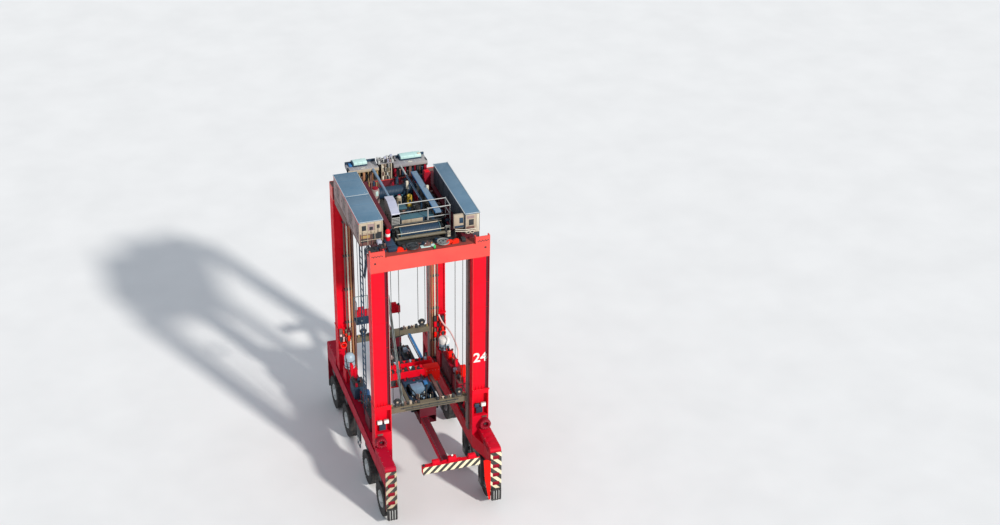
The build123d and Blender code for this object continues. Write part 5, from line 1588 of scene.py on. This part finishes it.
def make_bogie_units():
    """Tanks, lockers, pumps and valve blocks that stand on the bogie beams."""
    top = BOGIE_TOP
    mixed = "deep_red dark brown navy"
    left = Shape("red")
    make_tank(left, -1, top + 0.65, [(0.215, 0.58), (0.17, 0.66), (0.09, 0.71), (0.0, 0.725)])
    machine_box(left, (-2.33, 0.50, top), (-1.80, 1.30, top + 0.62), "navy")
    clutter(left, (-2.30, 0.52, top + 0.62), (-1.84, 1.28, top + 0.84), mixed, 6, 31)
    machine_box(left, (-2.30, -1.95, top), (-1.80, -1.15, top + 0.70), "maroon")
    left.use("red").box((-2.24, 1.42, top), (-2.12, 1.66, top + 1.15), 0.02)
    left.box((-2.10, 1.46, top), (-1.98, 1.60, top + 0.85), 0.02)
    clutter(left, (-2.18, -1.08, top), (-1.86, 0.42, top + 0.85), mixed, 9, 32)
    clutter(left, (-2.25, -2.60, top), (-1.90, -2.02, top + 0.5), "brass dark rose", 5, 33)
    left.use("blue").box((-2.02, -0.28, top + 0.5), (-1.84, -0.06, top + 0.86), 0.02)
    left.done("left_row_units", "frame", "red_paint")

    right = Shape("red")
    make_tank(right, 1, top + 0.78, [(0.20, 0.545), (0.0, 0.555)])
    # The white shell over the tank's top is a painted highlight of its sunlit side
    right.use("plain_white").lathe([(0.0, 0.60), (0.17, 0.595), (0.215, 0.57), (0.236, 0.52), (0.236, 0.34),
                                  (0.222, 0.34)], (TANK_X, TANK_Y, top + 0.78), UP, 40)
    machine_box(right, (1.88, 0.25, top), (2.36, 1.60, top + 0.98), "maroon", "deep_red")
    machine_box(right, (1.90, -0.80, top), (2.34, 0.05, top + 0.82), "deep_red", "brown")
    right.use("signal").box((2.12, -0.56, top + 0.6), (2.37, -0.26, top + 1.42), 0.03)
    right.box((1.98, 0.86, top + 0.97), (2.22, 1.12, top + 1.28), 0.03)
    clutter(right, (1.90, 0.27, top + 0.96), (2.34, 1.58, top + 1.32), "red deep_red brown orange dark", 10,
            34)
    clutter(right, (1.92, -0.78, top + 0.80), (2.32, 0.03, top + 1.10), "red brown orange dark", 7, 35)
    right.use("lavender").box((1.98, 0.10, top + 0.79), (2.12, 0.24, top + 0.98), 0.02)
    clutter(right, (1.88, -1.98, top), (2.28, -0.90, top + 0.62), mixed, 12, 36)
    clutter(right, (1.90, -2.66, top), (2.20, -2.04, top + 0.4), "dark deep_red brass", 5, 37)
    right.use("rose")
    for y in grid(-1.9, -1.0, 6):
        right.ball((1.96, y, top + 0.55), 0.035, 10)
    right.done("right_row_units", "frame", "red_paint")

    blocks = Shape("deep_red")
    for side, foot, bits, levels in (
            (1, 3.72, "signal brown red dark orange deep_red", (3.74, 4.02, 4.30, 4.56)),
            (-1, 4.3, "dark rose brown orange olive maroon", (4.30, 4.52, 4.70))):
        blocks.use("deep_red").box((side * 1.84, LEG_NEAR - 0.14, foot), (side * 2.38, LEG_NEAR, 4.76), 0.02)
        start, stop = sorted((side * 1.83, side * 2.40))
        for index, z in enumerate(levels):
            clutter(blocks, (start, LEG_NEAR - 0.28, z), (stop, LEG_NEAR - 0.13, z + 0.28), bits, 5,
                    101 + index, index)
    blocks.done("leg_base_blocks", "frame", "red_paint")

    hoses("white_hoses",
          ([(2.06, 2.66, 4.86), (2.14, 2.5, 4.55), (2.36, 2.0, 4.4), (2.40, 1.2, 4.25), (2.38, 0.6, 4.0),
            (2.2, 0.5, 3.6)],), 0.034, "rose", "frame")
    hoses("row_hoses", (
        [(-2.2, 2.5, 3.9), (-2.28, 2.2, 4.1), (-2.34, 1.7, 3.6), (-2.3, 1.2, 3.3), (-2.2, 0.8, 3.28)],
        [(-1.95, 1.0, 3.3), (-1.95, 0.4, 3.55), (-1.98, 0.0, 3.45), (-2.0, -0.4, 3.0), (-2.0, -0.9, 2.75)],
        [(-2.1, -1.2, 3.3), (-2.2, -1.0, 3.5), (-2.3, -0.5, 3.3), (-2.3, 0.0, 2.9), (-2.2, 0.4, 2.75)],
        [(2.0, -0.85, 3.4), (2.0, -1.1, 3.6), (2.08, -1.5, 3.4), (2.12, -1.9, 3.0), (2.1, -2.2, 2.7)],
        [(2.2, -0.85, 3.5), (2.26, -1.2, 3.55), (2.3, -1.7, 3.2), (2.28, -2.2, 2.85), (2.2, -2.5, 2.75)],
        [(1.92, 1.62, 3.5), (1.88, 1.7, 3.7), (1.9, 1.9, 3.7), (1.92, 2.1, 3.5), (1.92, 2.35, 3.2)],
    ), 0.022, "black_rubber", "frame")


# Spreader
def make_spreader_beam():
    """Bolted flanges, rails, stiffeners and cable runs along the spreader's main beam."""
    low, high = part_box("spreader_flanges")
    web_low, web_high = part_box("spreader_webs")
    top = web_high.z + 0.02
    beam = Shape("deep_red")
    for x in (low.x + 0.01, high.x - 0.03):
        beam.box((x, low.y + 0.1, top), (x + 0.02, high.y - 0.1, top + 0.035), 0.004)
    beam.use("brown")
    for y in grid(low.y + 0.35, high.y - 0.35, 12):
        if abs(y) > 0.75:
            for x in (low.x - 0.03, high.x):
                beam.box((x, y, web_low.z), (x + 0.03, y + 0.014, web_high.z))
    beam.use("bare_steel").bolts([(x, y, top) for x in (low.x + 0.06, high.x - 0.06)
                                  for y in grid(low.y + 0.3, high.y - 0.3, 22)], UP, 0.011, 0.011)
    beam.use("black_rubber")
    for x in (-0.05, 0.0, 0.05):
        beam.rod((x, low.y + 0.35, top + 0.02), (x, high.y - 0.35, top + 0.02), 0.016, 8)
    beam.done("spreader_beam_fittings", "spreader", "red_paint")


def make_cross_beams():
    """Stiffeners, rope guards, bolts and pipes on the spreader's cross beams."""
    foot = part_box("spreader_cross_beams")[0].z
    top = foot + CROSS_HEIGHT
    near, far = ROPE_Y - CROSS_WIDTH / 2, ROPE_Y + CROSS_WIDTH / 2
    parts = Shape("olive")
    for end in ENDS.values():
        parts.mirrored(1, end).use("olive")
        for x in grid(-1.5, 1.5, 13):
            parts.box((x - 0.006, far, foot + 0.03), (x + 0.006, far + 0.004, top - 0.03))
        parts.box((-1.56, far - 0.02, top), (1.0, far, top + 0.02), 0.004)
        parts.box((-0.95, near, top), (1.0, near + 0.02, top + 0.02), 0.004)
        parts.use("dark").rod((-1.2, far + 0.03, top - 0.06), (1.25, far + 0.03, top - 0.06), 0.022, 12)
        parts.rod((-1.0, far + 0.03, foot + 0.08), (1.1, far + 0.03, foot + 0.08), 0.018, 12)
        for x in grid(-1.1, 1.1, 7):
            parts.box((x, far, top - 0.09), (x + 0.03, far + 0.055, top - 0.03), 0.004)
        for side in SIDES.values():
            parts.mirrored(side, end)
            parts.use("brass").rod((1.54, near + 0.06, top), (1.54, near + 0.06, top + 0.10), 0.035)
            parts.use("black_rubber").box((1.60, near + 0.03, foot + 0.03), (1.633, far - 0.03, top - 0.03),
                                          0.004)
            parts.use("bare_steel").bolts([(x, ROPE_Y, top) for x in (0.30, 0.42, 0.54, 0.66)], UP, 0.014,
                                          0.014)
    parts.mirrored()
    tie_low, tie_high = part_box("spreader_ties")
    for paint, start, stop in (("brown", -2.664, -0.621), ("tie", 0.331, 2.664)):
        parts.use(paint).box((0.638, start, tie_low.z - 0.002), (0.772, stop, tie_high.z + 0.003), 0.004)
    parts.use("cream").box((0.636, 0.34, tie_high.z - 0.03), (0.650, 2.66, tie_high.z + 0.005), 0.003)
    for y in (-ROPE_Y, ROPE_Y):
        clutter(parts, (-1.15, y - 0.08, top), (-0.35, y + 0.08, top + 0.18), "dark brown dark beige", 7, 41)
        clutter(parts, (0.35, y - 0.08, top), (1.12, y + 0.08, top + 0.18), "dark brown beige", 7, 42)
    parts.done("cross_beam_fittings", "spreader", "dark_frame")


def make_spreader_sheaves():
    """Grooved sheaves between cheek plates on the cross beams."""
    low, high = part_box("spreader_sheaves")
    x, z = high.x - SHEAVE_RADIUS + ROPE_RADIUS, low.z + 0.23
    groove = sheave_profile(SHEAVE_RADIUS - ROPE_RADIUS + 0.004, SHEAVE_WIDTH / 2 - 0.001, 0.025)
    outline = [(-0.09, -0.23), (0.09, -0.23), (0.088, 0.04), (0.06, 0.085), (-0.06, 0.085), (-0.088, 0.04)]
    sheaves = Shape("pale_grey")
    for _ in sheaves.corners():
        sheaves.use("dark").lathe(groove, (x, ROPE_Y, z), REAR, 40)
        for cheek in (-1, 1):
            y = ROPE_Y + cheek * (SHEAVE_WIDTH / 2 + 0.0125)
            sheaves.use("dark").plate(outline, 0.024, (x, y, z), RIGHT)
            sheaves.use("beige").rod((x, y, z), (x, y + cheek * 0.0124, z), 0.045, 20)
            sheaves.bolts([(x + dx, y + cheek * 0.012, z - 0.19) for dx in (-0.055, 0, 0.055)], (0, cheek, 0),
                          0.012, 0.01)
    sheaves.done("spreader_sheave_blocks", "spreader", "grey_paint", "spreader_sheaves")


def make_head():
    """Open red frames over dark machinery, a bright box at the right end and small valve blocks."""
    low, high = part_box("spreader_head")
    head = Shape("red")
    front, rear, back, top, foot = low.y, low.y + 0.37, high.y - 0.27, high.z, 3.72
    for start, stop, level, left, right, pitch in ((front, rear, top, -1.12, 0.46, 0.24),
                                                   (back, high.y, top - 0.05, -0.98, 0.98, 0.26)):
        head.use("dark").box((left + 0.03, start + 0.05, level), (right - 0.03, stop - 0.05, level + 0.006))
        head.use("red")
        for edge in (start + 0.004, stop - 0.054):
            head.box((left, edge, level), (right, edge + 0.05, level + 0.03), 0.006)
        for x in grid(left, right - 0.05, int((right - left) / pitch)):
            head.box((x, start + 0.02, level), (x + 0.05, stop - 0.02, level + 0.028), 0.006)
    head.use("signal").box((0.50, front - 0.006, foot + 0.02), (high.x - 0.01, front, top - 0.01), 0.003)
    head.box((0.49, front - 0.004, top), (high.x - 0.005, rear, top + 0.03), 0.008)
    head.use("dark").box((-1.11, front - 0.003, 3.80), (-0.80, front + 0.02, 4.09))
    clutter(head, (-1.05, front + 0.06, 3.80), (0.46, front + 0.20, 4.08), "dark navy deep_red dark", 12, 51)
    clutter(head, (-1.05, front + 0.08, top), (0.42, rear - 0.08, top + 0.15),
            "orange dark red pale_box dark", 13, 52)
    clutter(head, (-0.92, back + 0.05, top - 0.05), (0.92, high.y - 0.05, top + 0.08),
            "red dark sky orange dark", 14, 53)
    head.use("bare_steel").bolts([(x, front - 0.006, z) for x in grid(0.56, high.x - 0.06, 5)
                                  for z in (foot + 0.09, top - 0.09)], FRONT, 0.012, 0.008)
    head.done("head_fittings", "spreader", "red_paint")


def make_spreader_units():
    """The dark machinery tray and its motor, and the pumps behind the head."""
    top = SPREADER_TOP
    left, right, front, rear, lid = -0.60, 0.56, -2.33, -0.66, top + 0.56
    tray = Shape("dark").box((left, front, top), (right, rear, top + 0.10), 0.01)
    tray.use("navy").boxes(
        ((left, front, top), (left + 0.03, rear, lid - 0.04), 0.008),
        ((right - 0.03, front, top), (right, rear, lid - 0.04), 0.008),
        ((left, front, top), (right, front + 0.03, lid - 0.12), 0.008),
        ((left + 0.03, -1.00, top), (0.30, rear, lid), 0.02),
        ((0.24, -1.34, top + 0.10), (0.52, -0.80, top + 0.54), 0.015))
    for index, (y,
                lift) in enumerate(((-2.24, 0.46), (-2.06, 0.52), (-1.88, 0.46), (-1.70, 0.40),
                                    (-1.10, 0.58))):
        clutter(tray, (left + 0.05, y, top + 0.1), (right - 0.05, y + 0.15, top + lift),
                "navy dark navy brown dark slate dark", 9 + index % 3, 61 + index)
    clutter(tray, (-0.50, -0.98, lid), (0.20, -0.72, lid + 0.10), "deep_red dark maroon", 6, 67)
    tray.use("slate").box((-0.34, -1.56, top + 0.30), (0.20, -1.14, top + 0.60), 0.02)
    tray.use("tie").box((0.26, -1.30, top + 0.53), (0.42, -1.04, top + 0.60), 0.015)
    tray.use("cream")
    for x, y in ((-0.12, -1.85), (0.14, -1.72), (-0.42, -1.92), (0.32, -2.0)):
        tray.rod((x, y, top + 0.3), (x, y, top + 0.50), 0.018, 10)
    # The thin pale teal rod along the tray front is a painted highlight
    tray.use("pale_box").rod((-0.55, -2.315, top + 0.40), (0.20, -2.315, top + 0.40), 0.010, 12)
    tray.use("slate").rod((-0.60, -2.29, top + 0.36), (0.46, -2.29, top + 0.36), 0.035, 20)
    tray.use("dark").rod((-0.58, -2.58, 4.12), (0.44, -2.58, 4.12), 0.045, 20)
    for x in (-0.5, 0.36):
        tray.box((x - 0.02, -2.61, 4.08), (x + 0.02, -2.31, 4.12), 0.006)
        tray.box((x - 0.02, -2.35, top + 0.3), (x + 0.02, -2.31, 4.12), 0.006)
    tray.done("spreader_tray", "spreader", "dark_frame", "spreader_units")

    pumps = Shape("dark")
    machine_box(pumps, (-0.56, 0.70, top), (-0.04, 1.60, top + 0.46), "maroon")
    machine_box(pumps, (0.02, 1.00, top), (0.50, 2.10, top + 0.40), "navy")
    bits = "dark brown dark rose dark deep_red"
    clutter(pumps, (-0.54, 0.72, top + 0.44), (-0.06, 1.58, top + 0.66), bits, 8, 71)
    clutter(pumps, (0.04, 1.02, top + 0.38), (0.48, 2.08, top + 0.62), bits, 9, 72)
    clutter(pumps, (-0.54, 1.68, top), (-0.08, 2.48, top + 0.66), bits, 8, 73)
    clutter(pumps, (0.05, 0.48, top), (0.46, 0.95, top + 0.5), "brass dark dark", 5, 74)
    pumps.use("sky").box((0.10, 1.35, top + 0.51), (0.30, 1.55, top + 0.66), 0.02)
    pumps.done("spreader_pumps", "spreader", "dark_frame")

    hoses("spreader_hoses", (
        [(-0.5, -2.1, 3.9), (-0.62, -1.9, 4.05), (-0.6, -1.5, 4.0), (-0.5, -1.1, 3.95), (-0.45, -0.7, 4.1)],
        [(-0.2, -2.0, 3.95), (-0.3, -1.7, 4.15), (-0.4, -1.3, 4.1), (-0.35, -0.9, 4.0), (-0.3, -0.64, 4.15)],
        [(0.1, -2.1, 3.92), (0.2, -1.8, 4.08), (0.35, -1.4, 4.12), (0.4, -1.0, 4.0), (0.3, -0.66, 4.2)],
        [(0.3, -2.2, 3.85), (0.45, -2.0, 4.02), (0.52, -1.5, 3.95), (0.5, -1.0, 3.85), (0.45, -0.66, 3.95)],
        [(-0.5, 0.35, 4.2), (-0.55, 0.6, 4.4), (-0.5, 0.9, 4.4), (-0.42, 1.2, 4.3), (-0.4, 1.4, 4.16)],
        [(0.2, 0.36, 4.2), (0.25, 0.7, 4.45), (0.3, 1.1, 4.4), (0.3, 1.4, 4.25), (0.25, 1.7, 4.1)],
        [(-0.3, 1.9, 4.15), (-0.2, 2.1, 4.35), (0.1, 2.3, 4.3), (0.3, 2.45, 4.2), (0.5, 2.66, 4.1)],
        [(-0.45, 1.75, 4.0), (-0.6, 2.0, 4.3), (-0.6, 2.3, 4.35), (-0.5, 2.55, 4.34), (-0.45, 2.7, 4.32)],
    ), 0.024, "black_rubber", "spreader")


def make_end_beam(end_name):
    """Striped face, red blocks, lamp, arm and twistlocks of a telescopic end beam, and its arm's rails."""
    end, node, body = ENDS[end_name], f"telescope_{end_name}", f"{end_name}_arm"
    low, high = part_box(node)
    far = span(low, high, 1)[1]
    near = far - END_BEAM_WIDTH
    top, foot = END_BEAM_TOP, END_BEAM_TOP - END_BEAM_HEIGHT
    beam = Shape("red").mirrored(1, end)
    beam.box((low.x, near, foot), (high.x, far - 0.004, top - 0.001), 0.006)
    beam.use("hazard_spreader").box((low.x + 0.004, far - 0.008, foot + 0.004),
                                    (high.x - 0.004, far, top - 0.004))
    arm = ARM_INNER + ARM_HEIGHT
    beam.mirrored(end, end).use("shade_red")
    beam.box((ARM_INNER, ARM_START, ARM_TOP - ARM_HEIGHT), (arm, near, ARM_TOP), 0.006)
    beam.use("dark").box((ARM_INNER, ARM_START, ARM_TOP), (arm, ARM_START + 0.2, ARM_TOP + ARM_COVER), 0.002)
    beam.mirrored(1, end).use("bare_steel")
    for x in (-LOCK_X, LOCK_X):
        beam.rod((x, LOCK_Y, low.z + 0.05), (x, LOCK_Y, foot), LOCK_SHANK, 24)
        beam.box((x - 0.028, LOCK_Y - 0.052, low.z), (x + 0.028, LOCK_Y + 0.052, low.z + 0.055), 0.012, 3)
    if end_name == "rear":
        beam.use("orange").box((low.x - 0.004, near + 0.01, foot + 0.01),
                               (low.x + 0.02, far - 0.01, top - 0.01), 0.004)
    beam.use("red")
    for x, wide, lift in ((-0.78, 0.30, 0.19), (-0.12, 0.34, 0.24), (0.72, 0.30, 0.16)):
        beam.box((x, near + 0.02, top), (x + wide, near + 0.17, top + lift), 0.02)
        beam.box((x - 0.03, near + 0.01, top), (x + wide + 0.03, near + 0.18, top + 0.025), 0.006)
    beam.plate([(0, 0), (0.9, 0), (0.8, 0.06), (0.1, 0.06)], 0.03, (-0.4, near + 0.05, top), RIGHT)
    beam.use("dark").rod((0.05, near + 0.10, top + 0.24), (0.05, near + 0.10, top + 0.26), 0.05, 18)
    beam.use("lamp_glass").ball((0.05, near + 0.10, top + 0.27), 0.045, 20)
    beam.use("dark")
    for x in (low.x + 0.06, high.x - 0.06):
        beam.rod((x, near + 0.112, top), (x, near + 0.112, top + 0.05), 0.055, 20)
        beam.rod((x, near + 0.112, top + 0.05), (x, near + 0.112, top + 0.08), 0.032, 6)
    beam.use("bare_steel").bolts([(x + dx, near + 0.16, top + 0.025) for x in (-0.76, 0.05, 0.74)
                                  for dx in (0.0, 0.12, 0.24)], UP, 0.011, 0.01)
    beam.use("deep_red")
    for x in grid(-1.0, 1.0, 7):
        beam.box((x, near, foot + 0.03), (x + 0.012, near - 0.02, top - 0.03))
    beam.done(f"end_beam_fittings_{end_name}", body, "red_paint", node)

    rails = Shape("dark").mirrored(end, end)
    start = SPREADER_END + 0.03
    for paint, left, right in (("dark", 0.028, 0.068), ("dark", 0.272, 0.312), ("maroon", 0.08, 0.26)):
        rails.use(paint).box((left, start, ARM_TOP), (right, near, ARM_TOP + 0.006), 0.002)
    rails.use("bare_steel").bolts([(x, y, ARM_TOP + 0.002) for x in (0.04, 0.30)
                                   for y in grid(SPREADER_END + 0.1, near - 0.1, 16)], UP, 0.010, 0.007)
    rails.done(f"arm_rails_{end_name}", body, "dark_frame")


def make_hose_arm():
    """Grey arm of two flanged channels with clips and a bundle of hoses."""
    pivot = Vector((HOSE_ARM_X, -HOSE_PIVOT_Y, HOSE_PIVOT_Z))
    tilt = math.radians(HOSE_ARM_ANGLE)
    along = Vector((0, math.cos(tilt), math.sin(tilt)))
    up = Vector((0, -math.sin(tilt), math.cos(tilt)))
    length, half = HOSE_ARM_LENGTH, HOSE_ARM_HALF
    arm = Shape("arm")

    def spot(distance, lift, shift=0.0):
        return pivot + along * distance + up * lift + Vector((shift, 0, 0))

    edge = [(0.05, half), (length - 0.3, half), (length - 0.1, half * 0.8), (length - 0.004, half * 0.5)]
    outline = [(reach, -lift) for reach, lift in edge] + edge[::-1]
    for shift in (-0.024, 0.024):
        arm.plate(outline, 0.02, pivot + Vector((shift, 0, 0)), along, up)
    arm.lathe(closed([(0.046, -0.034), (0.10, -0.034), (0.104, -0.02)]), pivot, RIGHT, 32)
    arm.use("grey")
    for distance in grid(0.35, length - 0.3, 12):
        arm.rod(spot(distance, 0.0, -0.033), spot(distance, 0.0, 0.033), 0.035, 18)
    arm.use("dark")
    for distance in grid(0.5, length - 0.45, 9):
        arm.rod(spot(distance, -half * 0.6, -0.0345), spot(distance, half * 0.6, -0.0345), 0.008, 8)
    arm.use("bare_steel").bolts([spot(distance, lift, -0.034) for distance in grid(0.2, length - 0.3, 14)
                                 for lift in (-0.05, 0.05)], LEFT, 0.009, 0.001)
    arm.use("black_rubber")
    for lift in (-0.03, 0.0, 0.03):
        arm.rod(spot(0.12, lift), spot(length - 0.1, lift * 0.7), 0.012, 8)
    arm.done("hose_arm_channels", "hose_arm_body", "grey_paint", "hose_arm")


# Operators and properties
class CarrierFinishSettings(bpy.types.PropertyGroup):
    """The fleet number and its height, which a user would change."""

    fleet_number: bpy.props.StringProperty(
        name="Fleet number", description="Plain number on the front right leg", default="24")
    number_height: bpy.props.FloatProperty(
        name="Number height", description="Height of the digits", default=0.44, unit="LENGTH")


class CARRIER_OT_stage(bpy.types.Operator):
    """Make the floor, the light and the camera"""

    bl_idname = "carrier.stage"
    bl_label = "Stage"

    def execute(self, context):
        make_stage()
        return {"FINISHED"}


class CARRIER_OT_paint(bpy.types.Operator):
    """Give every node its finish"""

    bl_idname = "carrier.paint"
    bl_label = "Paint"

    def execute(self, context):
        paint_nodes()
        return {"FINISHED"}


class CARRIER_OT_wheels(bpy.types.Operator):
    """Make the tyres and rims"""

    bl_idname = "carrier.wheels"
    bl_label = "Wheels"

    def execute(self, context):
        for side_name in SIDES:
            for row in ROWS:
                make_tyre(side_name, row)
                make_rim(side_name, row)
        return {"FINISHED"}


class CARRIER_OT_bogies(bpy.types.Operator):
    """Make the fittings of the bogies, nose plates, bumpers and forks"""

    bl_idname = "carrier.bogies"
    bl_label = "Bogies"

    def execute(self, context):
        for side_name in SIDES:
            make_bogie_fittings(side_name)
            for row in ROWS:
                make_fork_fittings(side_name, row)
        for end_name in ENDS:
            for side_name in SIDES:
                make_nose_plate(end_name, side_name)
        make_bumpers()
        make_ring_drives()
        make_bogie_units()
        return {"FINISHED"}


class CARRIER_OT_legs(bpy.types.Operator):
    """Make the fittings of the legs, their number, lamps, pipes and ladder"""

    bl_idname = "carrier.legs"
    bl_label = "Legs"

    def execute(self, context):
        for end_name in ENDS:
            for side_name in SIDES:
                make_leg_fittings(end_name, side_name)
        make_fleet_number()
        make_headlamps()
        make_rail_fittings()
        make_pipes()
        make_ladder_fittings()
        return {"FINISHED"}


class CARRIER_OT_hoist(bpy.types.Operator):
    """Make the portal beams' fittings, sheaves, ropes and drums"""

    bl_idname = "carrier.hoist"
    bl_label = "Hoist"

    def execute(self, context):
        for end_name in ENDS:
            make_beam_fittings(end_name)
            make_drum(end_name)
        make_beam_top_parts()
        make_sheaves()
        make_ropes()
        return {"FINISHED"}


class CARRIER_OT_housings(bpy.types.Operator):
    """Make the engine house, the cabinet and the machines on the deck"""

    bl_idname = "carrier.housings"
    bl_label = "Housings"

    def execute(self, context):
        make_engine_house()
        make_cabinet()
        make_deck_units()
        make_deck_small()
        make_rear_shelf()
        make_service_tower()
        return {"FINISHED"}


class CARRIER_OT_spreader(bpy.types.Operator):
    """Make the spreader's fittings and its hose arm"""

    bl_idname = "carrier.spreader"
    bl_label = "Spreader"

    def execute(self, context):
        make_spreader_beam()
        make_cross_beams()
        make_spreader_sheaves()
        make_head()
        make_spreader_units()
        for end_name in ENDS:
            make_end_beam(end_name)
        make_hose_arm()
        return {"FINISHED"}


STEPS = (CARRIER_OT_stage, CARRIER_OT_paint, CARRIER_OT_wheels, CARRIER_OT_bogies, CARRIER_OT_legs,
         CARRIER_OT_hoist, CARRIER_OT_housings, CARRIER_OT_spreader,)


class CARRIER_PT_panel(bpy.types.Panel):
    """Lists the steps in the sidebar"""

    bl_label = "Carrier"
    bl_idname = "CARRIER_PT_panel"
    bl_space_type = "VIEW_3D"
    bl_region_type = "UI"
    bl_category = "Carrier"

    def draw(self, context):
        settings = context.scene.carrier_finish
        self.layout.prop(settings, "fleet_number")
        self.layout.prop(settings, "number_height")
        for step in STEPS:
            self.layout.operator(step.bl_idname)


CLASSES = (CarrierFinishSettings, *STEPS, CARRIER_PT_panel)


def register():
    for item in CLASSES:
        bpy.utils.register_class(item)
    bpy.types.Scene.carrier_finish = bpy.props.PointerProperty(type=CarrierFinishSettings)


def unregister():
    del bpy.types.Scene.carrier_finish
    for item in reversed(CLASSES):
        bpy.utils.unregister_class(item)


def main():
    register()
    for step in STEPS:
        group, action = step.bl_idname.split(".")
        getattr(getattr(bpy.ops, group), action)()


if __name__ == "__main__":
    main()
